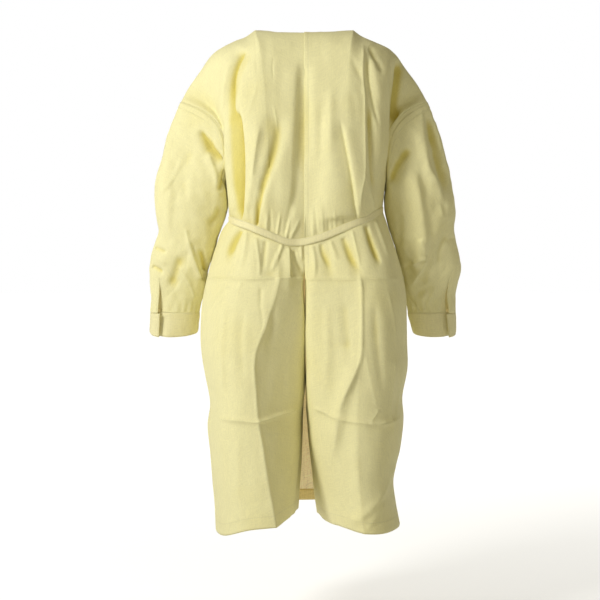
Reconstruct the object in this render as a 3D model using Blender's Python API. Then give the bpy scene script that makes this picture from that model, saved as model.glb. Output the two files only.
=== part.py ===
"""Isolation gown with a back opening, in the hollow form it has when worn.

The back faces -Y, +X is the wearer's right and +Z is up. The origin lies midway between
the two points where the neckline meets the shoulder seams. Each cut piece is a thin
closed wall laid on a surface that is worked out from the sizes and short tables below.
"""

import math

import bpy
import numpy as np

# Driving sizes, in metres
WALL = 0.0016
SEAM_GAP = 0.0004
NECK_HALF = 0.1225
SHOULDER_OUT = 0.3075
SHOULDER_DROP = 0.180
ARMHOLE_DEPTH = 0.205
ARMHOLE_BULGE = 0.062
UNDERARM_OUT = {"left": 0.192, "right": 0.203}
CENTRE_LAP = 0.018
LAP_CLEAR = 0.0017
BELT_WIDTH = 0.018
BELT_CLEAR = 0.0006
KNOT_SIZE = (0.030, 0.022, 0.016)
CUFF_SEAM_DROP = 0.7075
CUFF_HEIGHT = 0.060
CUFF_SLANT = 0.2
SLEEVE_DEPTH_TOP = 0.066
SLEEVE_DEPTH_CUFF = 0.036
FOREARM_FORWARD = 0.072
SLIT_LENGTH_SHARE = 0.18
TAB_LIFT = 0.008
UNDERLAP_SINK = 0.0042
SHOULDER_ROUNDING = 0.085
SIDE_SQUARENESS = 0.87
LIP_PULL = {"left": 3.0, "right": 2.0}
NECKLINE = {"back": (0.060, 0.016), "front": (0.072, 0.090)}
SIDE_BELT_OUT = 0.2
FRONT_BELT_Z = -0.455
FRONT_HEM_Z = -1.2125
BELT_END_CLEAR = 0.0035
BELT_END_WIDTH = 0.016
BELT_END_OUT_SHARE = 0.27

# Numbers of rows and columns in the walls
ARM_ROWS = 10
WAIST_ROWS = 4
SKIRT_ROWS = 17
SIDE_COLUMNS = 8
CENTRE_COLUMNS = 7
SLEEVE_ROWS = 15
RING_COLUMNS = 20
SLIT_COLUMN = 3
CUFF_ROWS = 2
ARM_SHARE = 0.6
TURN_STEPS = 48

YELLOW = (0.78, 0.72, 0.42)
YELLOW_SHADE = (0.72, 0.66, 0.36)

SHOULDER = (
    ("share", "out", "drop"),
    (0.00, 0.3075, 0.180),
    (0.13, 0.2910, 0.150),
    (0.36, 0.2560, 0.100),
    (0.54, 0.2275, 0.061),
    (0.78, 0.1740, 0.031),
    (0.91, 0.1430, 0.017),
    (1.00, 0.1225, 0.000),
)
BELT_LINE = (
    ("x", "z"),
    (-0.180, -0.477),
    (-0.139, -0.492),
    (-0.080, -0.518),
    (-0.038, -0.534),
    (0.000, -0.533),
    (0.036, -0.524),
    (0.093, -0.501),
    (0.152, -0.476),
    (0.195, -0.452),
)
SKIRT_SIDES = (
    ("share", "left", "right"),
    (0.00, 0.178, 0.195),
    (0.07, 0.212, 0.211),
    (0.13, 0.228, 0.2275),
    (0.20, 0.2435, 0.244),
    (0.27, 0.2535, 0.2535),
    (0.34, 0.2568, 0.255),
    (0.42, 0.2555, 0.2555),
    (0.50, 0.2465, 0.2573),
    (0.60, 0.2335, 0.244),
    (0.66, 0.2395, 0.247),
    (0.76, 0.2325, 0.2385),
    (0.86, 0.2270, 0.221),
    (0.93, 0.2222, 0.2272),
    (1.00, 0.2200, 0.2375),
)
# In these four, down is 0 at the top edge, 1 at the belt and 2 at the hem
BACK_LEFT = (
    ("down", "ridge_out", "ridge_back", "lip_out", "lip_back", "edge_out", "edge_back"),
    (0.00, 0.090, 0.120, 0.045, 0.121, 0.000, 0.118),
    (0.40, 0.090, 0.146, 0.045, 0.141, 0.000, 0.130),
    (0.85, 0.085, 0.146, 0.045, 0.143, 0.000, 0.132),
    (1.00, 0.072, 0.136, 0.040, 0.136, 0.000, 0.128),
    (1.155, 0.060, 0.174, 0.018, 0.150, 0.000, 0.130),
    (1.29, 0.085, 0.185, 0.008, 0.135, 0.0015, 0.080),
    (1.41, 0.1147, 0.190, 0.006, 0.120, 0.002, 0.045),
    (1.54, 0.1124, 0.190, 0.005, 0.110, 0.002, -0.020),
    (1.63, 0.1077, 0.190, 0.006, 0.106, 0.002, -0.066),
    (1.73, 0.0960, 0.190, 0.010, 0.106, 0.003, -0.082),
    (1.86, 0.0820, 0.190, 0.018, 0.106, 0.007, -0.100),
    (2.00, 0.0644, 0.190, 0.030, 0.104, 0.013, -0.117),
)
BACK_RIGHT = (
    ("down", "ridge_out", "ridge_back", "lip_out", "lip_back", "edge_out", "edge_back"),
    (0.00, 0.090, 0.120, 0.045, 0.121, 0.000, 0.118),
    (0.40, 0.095, 0.146, 0.045, 0.144, 0.000, 0.134),
    (0.85, 0.095, 0.146, 0.045, 0.145, 0.000, 0.136),
    (1.00, 0.100, 0.136, 0.040, 0.138, 0.000, 0.132),
    (1.155, 0.128, 0.166, 0.026, 0.158, 0.000, 0.133),
    (1.29, 0.136, 0.182, 0.012, 0.160, 0.0015, 0.080),
    (1.41, 0.134, 0.188, 0.010, 0.158, 0.002, 0.045),
    (1.54, 0.126, 0.190, 0.010, 0.152, 0.002, -0.020),
    (1.63, 0.124, 0.190, 0.014, 0.146, 0.005, -0.066),
    (1.73, 0.125, 0.190, 0.024, 0.138, 0.012, -0.082),
    (1.86, 0.130, 0.190, 0.040, 0.124, 0.021, -0.100),
    (2.00, 0.140, 0.190, 0.062, 0.104, 0.034, -0.117),
)
FRONT = (
    ("down", "ridge_out", "ridge_back", "edge_out", "edge_back"),
    (0.00, 0.090, 0.100, 0.000, 0.095),
    (0.40, 0.090, 0.126, 0.000, 0.122),
    (0.85, 0.090, 0.140, 0.000, 0.136),
    (1.00, 0.090, 0.130, 0.000, 0.128),
    (1.20, 0.100, 0.165, 0.000, 0.152),
    (1.50, 0.115, 0.196, 0.000, 0.176),
    (2.00, 0.125, 0.218, 0.000, 0.205),
)
HEM = (
    ("across", "left", "right"),
    (0.0, -1.236, -1.226),
    (0.4, -1.238, -1.222),
    (0.8, -1.212, -1.222),
    (1.0, -1.205, -1.220),
    (1.3, -1.197, -1.214),
    (1.6, -1.205, -1.222),
    (2.0, -1.2155, -1.228),
)
SLEEVE_OUTLINE = (
    ("drop", "left_out", "right_out", "left_in", "right_in"),
    (0.18, 0.3075, 0.3075, 0.180, 0.190),
    (0.25, 0.3360, 0.3350, 0.185, 0.195),
    (0.32, 0.3570, 0.3550, 0.190, 0.200),
    (0.385, 0.3725, 0.3700, 0.192, 0.203),
    (0.45, 0.3715, 0.3785, 0.203, 0.206),
    (0.50, 0.3640, 0.3765, 0.216, 0.2135),
    (0.55, 0.3825, 0.3890, 0.236, 0.234),
    (0.60, 0.3910, 0.3975, 0.251, 0.251),
    (0.65, 0.3900, 0.3860, 0.2635, 0.262),
    (0.71, 0.3920, 0.3875, 0.269, 0.2680),
    (0.77, 0.3960, 0.3920, 0.273, 0.2800),
)
BELT_ENDS = (
    ("side", "length", "splay"),
    ("left", 0.235, -0.055),
    ("right", 0.260, 0.040),
)
# Largest folds: chord from x0, z0 to x1, z1 in the back view, sideways bow, height out
# of the cloth (a trough is negative) and half width
BACK_FOLDS = (
    ("x0", "z0", "x1", "z1", "bow", "height", "width"),
    (-0.128, -0.055, -0.182, -0.215, -0.006, -0.015, 0.016),
    (-0.184, -0.180, -0.152, -0.475, 0.006, -0.017, 0.016),
    (0.000, -0.110, -0.031, -0.434, -0.010, -0.013, 0.020),
    (-0.067, -0.200, -0.118, -0.400, 0.004, -0.010, 0.017),
    (0.076, -0.250, 0.128, -0.478, 0.000, -0.013, 0.018),
    (0.133, -0.090, 0.148, -0.280, 0.000, -0.010, 0.014),
    (0.206, -0.090, 0.200, -0.260, -0.004, -0.012, 0.014),
    (0.040, -0.420, 0.028, -0.530, 0.000, 0.008, 0.014),
    (-0.020, -0.440, -0.030, -0.536, 0.000, 0.007, 0.013),
    (-0.100, -0.400, -0.082, -0.520, 0.000, 0.008, 0.014),
    (-0.036, -0.536, -0.036, -0.660, 0.000, 0.011, 0.012),
    (-0.051, -0.530, -0.090, -0.640, 0.000, -0.010, 0.013),
    (0.042, -0.522, 0.068, -0.640, 0.000, -0.011, 0.014),
    (0.093, -0.505, 0.133, -0.640, 0.000, -0.010, 0.014),
    (0.148, -0.485, 0.186, -0.620, 0.000, -0.010, 0.014),
    (-0.157, -0.485, -0.192, -0.610, 0.000, -0.010, 0.014),
    (-0.115, -0.500, -0.128, -0.640, 0.000, 0.008, 0.014),
    (0.131, -0.790, 0.066, -1.070, 0.014, 0.010, 0.016),
)
FRONT_FOLDS = (
    ("x0", "z0", "x1", "z1", "bow", "height", "width"),
    (-0.150, -0.090, -0.110, -0.430, 0.008, -0.013, 0.018),
    (0.145, -0.100, 0.120, -0.440, -0.008, -0.014, 0.018),
    (0.020, -0.160, 0.040, -0.440, 0.006, -0.011, 0.018),
    (-0.050, -0.250, -0.030, -0.450, 0.000, 0.008, 0.014),
    (-0.132, -0.460, -0.165, -0.640, 0.000, -0.011, 0.015),
    (-0.070, -0.450, -0.100, -0.700, 0.000, -0.012, 0.016),
    (-0.020, -0.450, -0.014, -0.780, 0.004, 0.010, 0.016),
    (0.060, -0.450, 0.092, -0.730, 0.000, -0.013, 0.016),
    (0.125, -0.450, 0.160, -0.660, 0.000, -0.011, 0.015),
    (0.120, -0.560, 0.140, -1.170, 0.010, 0.011, 0.020),
    (-0.130, -0.640, -0.120, -1.190, -0.010, 0.011, 0.020),
)
SLEEVE_FOLDS = (
    ("x0", "z0", "x1", "z1", "bow", "height", "width"),
    (-0.250, -0.255, -0.195, -0.360, 0.000, -0.014, 0.016),
    (0.262, -0.290, 0.206, -0.405, 0.000, -0.014, 0.016),
    (0.272, -0.190, 0.340, -0.450, 0.006, 0.008, 0.020),
    (-0.330, -0.240, -0.350, -0.440, 0.004, 0.006, 0.020),
    (-0.284, -0.500, -0.250, -0.650, 0.000, 0.008, 0.013),
    (-0.282, -0.540, -0.338, -0.665, 0.004, -0.008, 0.013),
    (0.304, -0.500, 0.268, -0.650, 0.000, 0.007, 0.013),
)


def column(table, name):
    """The values of one named column of a table."""
    place = table[0].index(name)
    return np.array([row[place] for row in table[1:]], float)


def smooth_value(table, name, at):
    """A column read as a smooth curve over the table's first column."""
    ends = column(table, table[0][0])
    values = column(table, name)
    slopes = np.gradient(values, ends)
    at = np.clip(at, ends[0], ends[-1])
    i = np.clip(np.searchsorted(ends, at, side="right") - 1, 0, len(ends) - 2)
    span = ends[i + 1] - ends[i]
    t = (at - ends[i]) / span
    rise = values[i + 1] - values[i]
    bend_in = slopes[i] * span - rise
    bend_out = rise - slopes[i + 1] * span
    return values[i] + rise * t + t * (1 - t) * (bend_in * (1 - t) + bend_out * t)


def ease(t):
    """0 to 1, level at both ends."""
    t = np.clip(t, 0.0, 1.0)
    return t * t * (3 - 2 * t)


def steps(start, end, count):
    return np.linspace(start, end, count + 1)


def blend(a, b, share):
    return a + (b - a) * share


def relief(folds, x, z):
    """How far the listed folds lift the cloth at each x, z."""
    height = np.zeros_like(x)
    for x0, z0, x1, z1, bow, fold_height, width in folds[1:]:
        length = math.hypot(x1 - x0, z1 - z0)
        along_x, along_z = (x1 - x0) / length, (z1 - z0) / length
        along = ((x - x0) * along_x + (z - z0) * along_z) / length
        aside = (x - x0) * along_z - (z - z0) * along_x
        inside = np.clip(along, 0, 1)
        aside = aside - 4 * bow * inside * (1 - inside)
        beyond = (along - inside) * length
        fade = ease(inside / 0.3) * ease((1 - inside) / 0.3)
        height += fold_height * fade * np.exp(-(aside**2 + beyond**2) / width**2)
    return height


def armhole(side, turn):
    """Point of the armhole seam in the back view, where turn runs 0 to 1 down the seam."""
    drop = (1 - np.cos(math.pi * turn)) / 2
    under = UNDERARM_OUT[side]
    out = under + (SHOULDER_OUT - under) * (1 - drop) ** 5
    bulge = ARMHOLE_BULGE * 2 * np.sqrt(drop * (1 - drop))
    return out, bulge, -SHOULDER_DROP - ARMHOLE_DEPTH * drop


def turn_in(ridge, lip, edge, pull, share):
    """Curves from ridge to edge that the lip pulls towards it, at equal shares of length."""
    t = steps(0, 1, TURN_STEPS)[:, None]
    weights = (1 - t) ** 2, 2 * pull * t * (1 - t), t**2
    rows = []
    for corners in zip(ridge, lip, edge):
        curve = sum(weight * corner for weight, corner in zip(weights, corners)) / sum(weights)
        lengths = np.linalg.norm(np.diff(curve, axis=0), axis=1)
        reached = np.concatenate([[0], np.cumsum(lengths)]) / lengths.sum()
        rows.append([np.interp(share, reached, curve[:, axis]) for axis in (0, 1)])
    return np.array(rows)


def section(side, face, across, down):
    """Out and back distances of level sections, with a row for each down.

    Across is 0 at the side seam, 1 at the ridge and 2 at the centre.
    """
    table = {"back left": BACK_LEFT, "back right": BACK_RIGHT}.get(f"{face} {side}", FRONT)

    def corner(name):
        pair = smooth_value(table, name + "_out", down), smooth_value(table, name + "_back", down)
        return np.stack(pair, axis=-1)

    side_out = smooth_value(SKIRT_SIDES, side, down - 1)[:, None]
    ridge, edge = corner("ridge"), corner("edge")
    ridge_out, ridge_back = ridge[:, :1], ridge[:, 1:]
    outer = np.clip(across, 0, 1) * math.pi / 2
    inner = np.clip(across - 1, 0, 1)
    if face == "front":
        inner_out = blend(ridge_out, edge[:, :1], inner)
        inner_back = blend(edge[:, 1:], ridge_back, (1 + np.cos(inner * math.pi)) / 2)
    else:
        turned = turn_in(ridge, corner("lip"), edge, LIP_PULL[side], inner)
        inner_out, inner_back = turned[:, 0], turned[:, 1]
    outer_out = blend(ridge_out, side_out, np.cos(outer) ** SIDE_SQUARENESS)
    outer_back = ridge_back * np.sin(outer) ** SIDE_SQUARENESS
    out = np.where(across <= 1, outer_out, inner_out)
    back = np.where(across <= 1, outer_back, inner_back)
    return out, back


def top_edge(face, across):
    """Out, back and height along the shoulder seam and then the neckline."""
    neck_back, neck_drop = NECKLINE[face]
    seam = np.clip(across, 0, 1)
    neck = np.clip(across - 1, 0, 1)
    round_neck = np.sin(neck * math.pi / 2)
    out = np.where(
        across <= 1,
        smooth_value(SHOULDER, "out", seam),
        NECK_HALF * (1 - neck),
    )
    height = np.where(
        across <= 1,
        -smooth_value(SHOULDER, "drop", seam),
        -neck_drop * round_neck,
    )
    return out, neck_back * round_neck, height


def body_half(side, face, across, down):
    """Points of half the back or half the front, as an array of rows and columns."""
    sign = {"left": -1, "right": 1}[side]
    facing = {"back": -1, "front": 1}[face]
    out, back = section(side, face, across, np.maximum(down, 1))
    belt_x = section(side, face, across, np.ones_like(down))[0]
    chest_back = section(side, face, across, np.minimum(down, 1))[1]
    across, down = np.meshgrid(across, down)
    skirt = np.clip(down - 1, 0, 1)
    belt_height = smooth_value(BELT_LINE, "z", sign * belt_x)
    side_belt = smooth_value(BELT_LINE, "z", sign * SIDE_BELT_OUT)
    if face == "front":
        belt_height = blend(side_belt, FRONT_BELT_Z, ease(across / 2))
        hem_height = blend(smooth_value(HEM, side, 0.0), FRONT_HEM_Z, ease(across))
    else:
        hem_height = smooth_value(HEM, side, across)
    skirt_height = blend(belt_height, hem_height, skirt)

    top_out, top_back, top_height = top_edge(face, across)
    arm_share = ARMHOLE_DEPTH / (-side_belt - SHOULDER_DROP)
    turn = np.clip(down / ARM_SHARE, 0, 1)
    arm_out, arm_bulge, arm_height = armhole(side, turn)
    arm_drop = (-SHOULDER_DROP - arm_height) / ARMHOLE_DEPTH
    lower = np.clip((down - ARM_SHARE) / (1 - ARM_SHARE), 0, 1)
    drop = arm_share * arm_drop + (1 - arm_share) * lower
    side_out = blend(arm_out, smooth_value(SKIRT_SIDES, side, 0.0), lower)
    upper_out = blend(top_out, belt_x, drop)
    straight_side = blend(SHOULDER_OUT, smooth_value(SKIRT_SIDES, side, 0.0), drop)
    upper_out += (side_out - straight_side) * np.clip(1 - across / 1.5, 0, 1) ** 1.6
    upper_height = blend(top_height, belt_height, drop)
    turn_over = np.clip((top_height - upper_height) / SHOULDER_ROUNDING, 0, 1)
    rounded = np.sqrt(1 - (1 - turn_over) ** 2)
    bulge_share = 1 - np.sin(np.clip(across, 0, 1) * math.pi / 2) ** SIDE_SQUARENESS
    upper_back = blend(top_back, chest_back, rounded) + arm_bulge * bulge_share**1.4

    upper = down < 1
    out = np.where(upper, upper_out, out)
    back = np.where(upper, upper_back, back)
    height = np.where(upper, upper_height, skirt_height)
    folds = {"back": BACK_FOLDS, "front": FRONT_FOLDS}[face]
    near_seam = ease(across / 0.35) * ease(down / 0.12)
    near_belt = 1 - np.exp(-(((down - 1) / 0.05) ** 2))
    near_edge = ease((2 - across) / 0.15) if face == "back" else 1
    lift = relief(folds, sign * out, height) * near_seam * near_belt * near_edge
    if face == "back" and side == "left":
        out = out - CENTRE_LAP * ease((across - 1.55) / 0.45) * ease((1.14 - down) / 0.10)
    return np.stack([sign * out, facing * (back + lift), height], axis=-1)


def sleeve_rings(side, angles, down):
    """Points of a sleeve tube. Angle 0 is the outer side and a quarter turn is the back.

    Down is 0 at the armhole and 1 at the cuff seam, and then runs on in metres.
    """
    sign = {"left": -1, "right": 1}[side]
    angles, down = np.meshgrid(angles, down)
    underarm_drop = SHOULDER_DROP + ARMHOLE_DEPTH
    past = np.clip(down - 1, 0, None)
    sleeve_share = np.minimum(down, 1)
    outer_z = -blend(SHOULDER_DROP, CUFF_SEAM_DROP, sleeve_share) - past
    inner_z = -blend(underarm_drop, CUFF_SEAM_DROP, sleeve_share) - past
    outer_x = smooth_value(SLEEVE_OUTLINE, side + "_out", -outer_z)
    inner_x = smooth_value(SLEEVE_OUTLINE, side + "_in", -inner_z)
    depth = blend(SLEEVE_DEPTH_TOP, SLEEVE_DEPTH_CUFF, ease(down))
    forward = FOREARM_FORWARD * ease((down - 0.4) / 0.75) + CUFF_SLANT * past
    across, through = np.cos(angles), np.sin(angles)
    out = (outer_x + inner_x) / 2 + across * (outer_x - inner_x) / 2
    height = (outer_z + inner_z) / 2 + across * (outer_z - inner_z) / 2
    back = through * depth - forward

    turn = np.abs(np.mod(angles, 2 * math.pi))
    turn = np.where(turn > math.pi, 2 * math.pi - turn, turn) / math.pi
    seam_out, seam_bulge, seam_height = armhole(side, turn)
    start_out = (SHOULDER_OUT + UNDERARM_OUT[side]) / 2
    start_out = start_out + across * (SHOULDER_OUT - UNDERARM_OUT[side]) / 2
    fade = 1 - ease(down / 0.55)
    out = out + (seam_out - start_out) * fade
    back = back + (np.sign(through) * seam_bulge - through * SLEEVE_DEPTH_TOP) * fade
    near_seam = ease(down / 0.15) * ease((1.0 - down) / 0.1)
    lift = relief(SLEEVE_FOLDS, sign * out, height) * near_seam * ease(through * 2.5)
    return np.stack([sign * out, -(back + lift), height], axis=-1)


def cross_normals(points, around=False):
    """Unit normals of a grid, which point out of the garment."""
    along_columns = np.gradient(points, axis=1)
    if around:
        joined = np.concatenate([points[:, -2:-1], points, points[:, 1:2]], axis=1)
        along_columns = (joined[:, 2:] - joined[:, :-2]) / 2
    normals = np.cross(along_columns, np.gradient(points, axis=0))
    return normals / np.linalg.norm(normals, axis=2, keepdims=True)


def draw_in(points, top=0.0, bottom=0.0, first=0.0, last=0.0):
    """The grid with its edges moved in along the cloth, to leave the gap of a seam."""
    points = points.copy()
    for edge, inside, gap in (
        ((0,), (1,), top),
        ((-1,), (-2,), bottom),
        ((slice(None), 0), (slice(None), 1), first),
        ((slice(None), -1), (slice(None), -2), last),
    ):
        step = points[inside] - points[edge]
        points[edge] = points[edge] + step * gap / np.linalg.norm(step, axis=-1, keepdims=True)
    return points


def cloth_wall(name, points, normals, colour, joined_rows=0, wall=WALL):
    """A closed wall under a grid of outer points.

    In the first joined_rows the grid goes round a tube: its last column is its first.
    """
    rows, columns = points.shape[:2]
    number = np.arange(rows * columns).reshape(rows, columns)
    number[:joined_rows, -1] = number[:joined_rows, 0]
    layer = rows * columns
    faces = []

    def rim(a, b):
        faces.append((b, a, a + layer))
        faces.append((b, a + layer, b + layer))

    for r in range(rows - 1):
        for c in range(columns - 1):
            a, b = number[r, c], number[r, c + 1]
            e, d = number[r + 1, c], number[r + 1, c + 1]
            falling = np.linalg.norm(points[r, c] - points[r + 1, c + 1])
            rising = np.linalg.norm(points[r, c + 1] - points[r + 1, c])
            pair = ((a, b, d), (a, d, e)) if falling < rising else ((a, b, e), (b, d, e))
            for one, two, three in pair:
                faces.append((one, two, three))
                faces.append((three + layer, two + layer, one + layer))
    for c in range(columns - 1):
        rim(number[0, c], number[0, c + 1])
        rim(number[-1, c + 1], number[-1, c])
    for r in range(max(joined_rows - 1, 0), rows - 1):
        rim(number[r + 1, 0], number[r, 0])
        rim(number[r, -1], number[r + 1, -1])
    corners = np.concatenate([points.reshape(-1, 3), (points - normals * wall).reshape(-1, 3)])
    used, faces = np.unique(np.array(faces), return_inverse=True)
    mesh = bpy.data.meshes.new(name)
    mesh.from_pydata(corners[used].tolist(), [], faces.reshape(-1, 3).tolist())
    mesh.shade_smooth()
    mesh.set_sharp_from_angle(angle=math.radians(50))
    piece = bpy.data.objects.new(name, mesh)
    bpy.context.scene.collection.objects.link(piece)
    mesh.materials.append(cloth_material(name, colour))
    return piece


def cloth_material(name, colour):
    material = bpy.data.materials.new(name)
    material.use_nodes = True
    shader = material.node_tree.nodes["Principled BSDF"]
    shader.inputs["Base Color"].default_value = (*colour, 1)
    shader.inputs["Roughness"].default_value = 0.85
    shader.inputs["Metallic"].default_value = 0.0
    return material


def body_rows():
    """Shares down the body: armhole, waist and skirt."""
    arm = steps(0, ARM_SHARE, ARM_ROWS)
    waist = steps(ARM_SHARE, 1, WAIST_ROWS)
    skirt = 1 + steps(0, 1, SKIRT_ROWS) ** 1.15
    return np.concatenate([arm, waist[1:], skirt[1:]])


def body_columns():
    return np.concatenate([steps(0, 1, SIDE_COLUMNS), 1 + steps(0, 1, CENTRE_COLUMNS)[1:]])


def square_to_seam(normals):
    """Normals on the shoulder and side seams, turned so that both pieces' edges are parallel."""
    normals = normals.copy()
    normals[..., 1] = 0
    return normals / np.linalg.norm(normals, axis=-1, keepdims=True)


def build_body():
    """Front and back halves. Returns the armhole normals that the sleeves share."""
    down = body_rows()
    across = body_columns()
    arm = slice(0, ARM_ROWS + 1)
    seam_normals = {}
    grids = {}
    for side in ("left", "right"):
        points = body_half(side, "back", across, down)
        if side == "left":
            points = points[:, ::-1]
        grids["back_" + side] = points
    left = body_half("left", "front", across, down)
    right = body_half("right", "front", across, down)
    grids["front"] = np.concatenate([left, right[:, -2::-1]], axis=1)

    for name, points in grids.items():
        side_columns = {"back_left": (-1,), "back_right": (0,), "front": (0, -1)}[name]
        normals = cross_normals(points)
        if name == "back_left":
            tuck = ease((across[::-1] - 1.3) / 0.3) * ease((1.30 - down[:, None]) / 0.12)
            points = points - normals * (WALL + LAP_CLEAR) * tuck[..., None]
        for place in side_columns:
            normals[ARM_ROWS:, place] = square_to_seam(normals[ARM_ROWS:, place])
            shoulder = slice(0, SIDE_COLUMNS + 1) if place == 0 else slice(-SIDE_COLUMNS - 1, None)
            normals[0, shoulder] = square_to_seam(normals[0, shoulder])
            side = "left" if points[ARM_ROWS, place, 0] < 0 else "right"
            seam_normals[side, name[:4]] = normals[arm, place]
        gap = SEAM_GAP / 2
        inset = {"back_left": (0, gap), "back_right": (gap, 0), "front": (gap, gap)}[name]
        points = draw_in(points, top=gap, first=inset[0], last=inset[1])
        cloth_wall(name, points, normals, YELLOW)
    return seam_normals


def slit_lift(angles, down):
    """Radial shift of the two slit edges: the edge in front lifts and the one behind sinks."""
    open_share = ease((down - (1 - SLIT_LENGTH_SHARE)) / SLIT_LENGTH_SHARE)
    slit = 2 * math.pi * SLIT_COLUMN / RING_COLUMNS
    sink = -UNDERLAP_SINK * ease((slit + 0.55 - angles) / 0.5)
    lift = TAB_LIFT * ease((angles - slit - 2 * math.pi + 0.75) / 0.7)
    return (sink + lift) * open_share


def shaped_rings(side, angles, down):
    """Sleeve or cuff rings with the slit edges parted, and their normals."""
    points = sleeve_rings(side, angles, down)
    normals = cross_normals(points, around=len(angles) > 12)
    if side == "left":
        normals = -normals
    spread_angles, spread_down = np.meshgrid(angles, down)
    points = points + normals * slit_lift(spread_angles, spread_down)[..., None]
    return points, normals


def build_sleeve(side, seam_normals):
    slit = 2 * math.pi * SLIT_COLUMN / RING_COLUMNS
    angles = slit + steps(0, 2 * math.pi, RING_COLUMNS)
    down = steps(0, 1, SLEEVE_ROWS)
    slit_row = int(round((1 - SLIT_LENGTH_SHARE) * SLEEVE_ROWS))
    points, normals = shaped_rings(side, angles, down)
    for place in range(RING_COLUMNS + 1):
        turn = (SLIT_COLUMN + place) % RING_COLUMNS
        face, row = ("back", turn) if turn <= RING_COLUMNS // 2 else ("fron", RING_COLUMNS - turn)
        body_normal = seam_normals[side, face][row]
        if np.dot(body_normal, normals[0, place]) > 0.4:
            normals[0, place] = body_normal
    points = draw_in(points, top=SEAM_GAP / 2 + 0.0002, bottom=SEAM_GAP / 2)
    if side == "left":
        points, normals = points[:, ::-1], normals[:, ::-1]
    cloth_wall("sleeve_" + side, points, normals, YELLOW, joined_rows=slit_row + 1)


def build_cuff(side):
    """A band that runs from under the slit, round the wrist, to its standing overlap end."""
    slit = 2 * math.pi * SLIT_COLUMN / RING_COLUMNS
    angles = steps(slit - 0.38, slit + 2 * math.pi + 0.10, RING_COLUMNS + 4)
    down = 1 + steps(0, CUFF_HEIGHT, CUFF_ROWS)
    points, normals = shaped_rings(side, angles, down)
    normals[:, 0] = normals[:, 1]
    normals[:, -1] = normals[:, -2]
    points = draw_in(points, top=SEAM_GAP / 2)
    if side == "left":
        points, normals = points[:, ::-1], normals[:, ::-1]
    cloth_wall("cuff_" + side, points, normals, YELLOW_SHADE, wall=WALL + 0.0004)


def build_placket(side):
    """The underlap strip that lies inside the sleeve along its slit."""
    slit = 2 * math.pi * SLIT_COLUMN / RING_COLUMNS
    angles = steps(slit - 0.16, slit + 0.22, 3)
    down = steps(1 - SLIT_LENGTH_SHARE - 0.02, 0.985, 4)
    points, normals = shaped_rings(side, angles, down)
    points = points - normals * (WALL + SEAM_GAP + 0.0006)
    if side == "left":
        points, normals = points[:, ::-1], normals[:, ::-1]
    cloth_wall("placket_" + side, points, normals, YELLOW_SHADE)


def body_cloud():
    """Points on the body's flat facets near the belt, which the belt must clear."""
    belt_row = ARM_ROWS + WAIST_ROWS
    parts = []
    for side in ("left", "right"):
        for face in ("back", "front"):
            grid = body_half(side, face, body_columns(), body_rows())
            rows = grid[belt_row - 1 : belt_row + 2]
            for share in steps(0, 1, 7):
                between = blend(rows[:-1], rows[1:], share)
                for across_share in steps(0, 1, 4):
                    facets = blend(between[:, :-1], between[:, 1:], across_share)
                    parts.append(facets.reshape(-1, 3))
    return np.concatenate(parts)


def waist_ring():
    """The belt row of the body, from the left of the back and round, with its directions."""
    across = steps(0, 2, 14)
    one = np.ones(1)
    back_left = body_half("left", "back", across, one)[0]
    back_right = body_half("right", "back", across, one)[0][::-1]
    front_right = body_half("right", "front", across, one)[0]
    front_left = body_half("left", "front", across, one)[0][::-1]
    back_left = back_left[back_left[:, 0] < -0.008]
    ring = np.concatenate([back_left, back_right, front_right[1:], front_left[1:]])
    around = np.concatenate([ring[-2:-1], ring, ring[1:2]])
    ahead = around[2:] - around[:-2]
    ahead /= np.linalg.norm(ahead, axis=1, keepdims=True)
    out = np.cross(ahead, np.array([0.0, 0.0, 1.0]))
    out /= np.linalg.norm(out, axis=1, keepdims=True)
    return ring, ahead, out


def lifted(ring, ahead, out, half_height):
    """How far each point of the ring moves out to clear the body within the belt's height."""
    cloud = body_cloud()
    lift = np.zeros(len(ring))
    for i, (point, forward, outward) in enumerate(zip(ring, ahead, out)):
        away = cloud - point
        near = np.abs(away @ forward) < 0.012
        near &= np.abs(away[:, 2]) < half_height + 0.004
        near &= np.linalg.norm(away, axis=1) < 0.05
        if near.any():
            lift[i] = max(0.0, (away[near] @ outward).max())
    spread = np.maximum(lift, np.maximum(np.roll(lift, 1), np.roll(lift, -1)))
    spread[0] = spread[-1] = max(spread[0], spread[-1])
    return spread


def build_belt():
    """The belt band. Returns the front middle of its outer face."""
    ring, ahead, out = waist_ring()
    lift = lifted(ring, ahead, out, BELT_WIDTH / 2) + WALL + BELT_CLEAR
    line = ring + out * lift[:, None]
    up = np.array([0.0, 0.0, BELT_WIDTH / 2])
    points = np.stack([line + up, line - up])
    normals = np.stack([out, out])
    cloth_wall("belt", points[:, ::-1], normals[:, ::-1], YELLOW_SHADE, joined_rows=2)
    middle = line[line[:, 1] > 0]
    return middle[np.argmin(np.abs(middle[:, 0]))]


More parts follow.
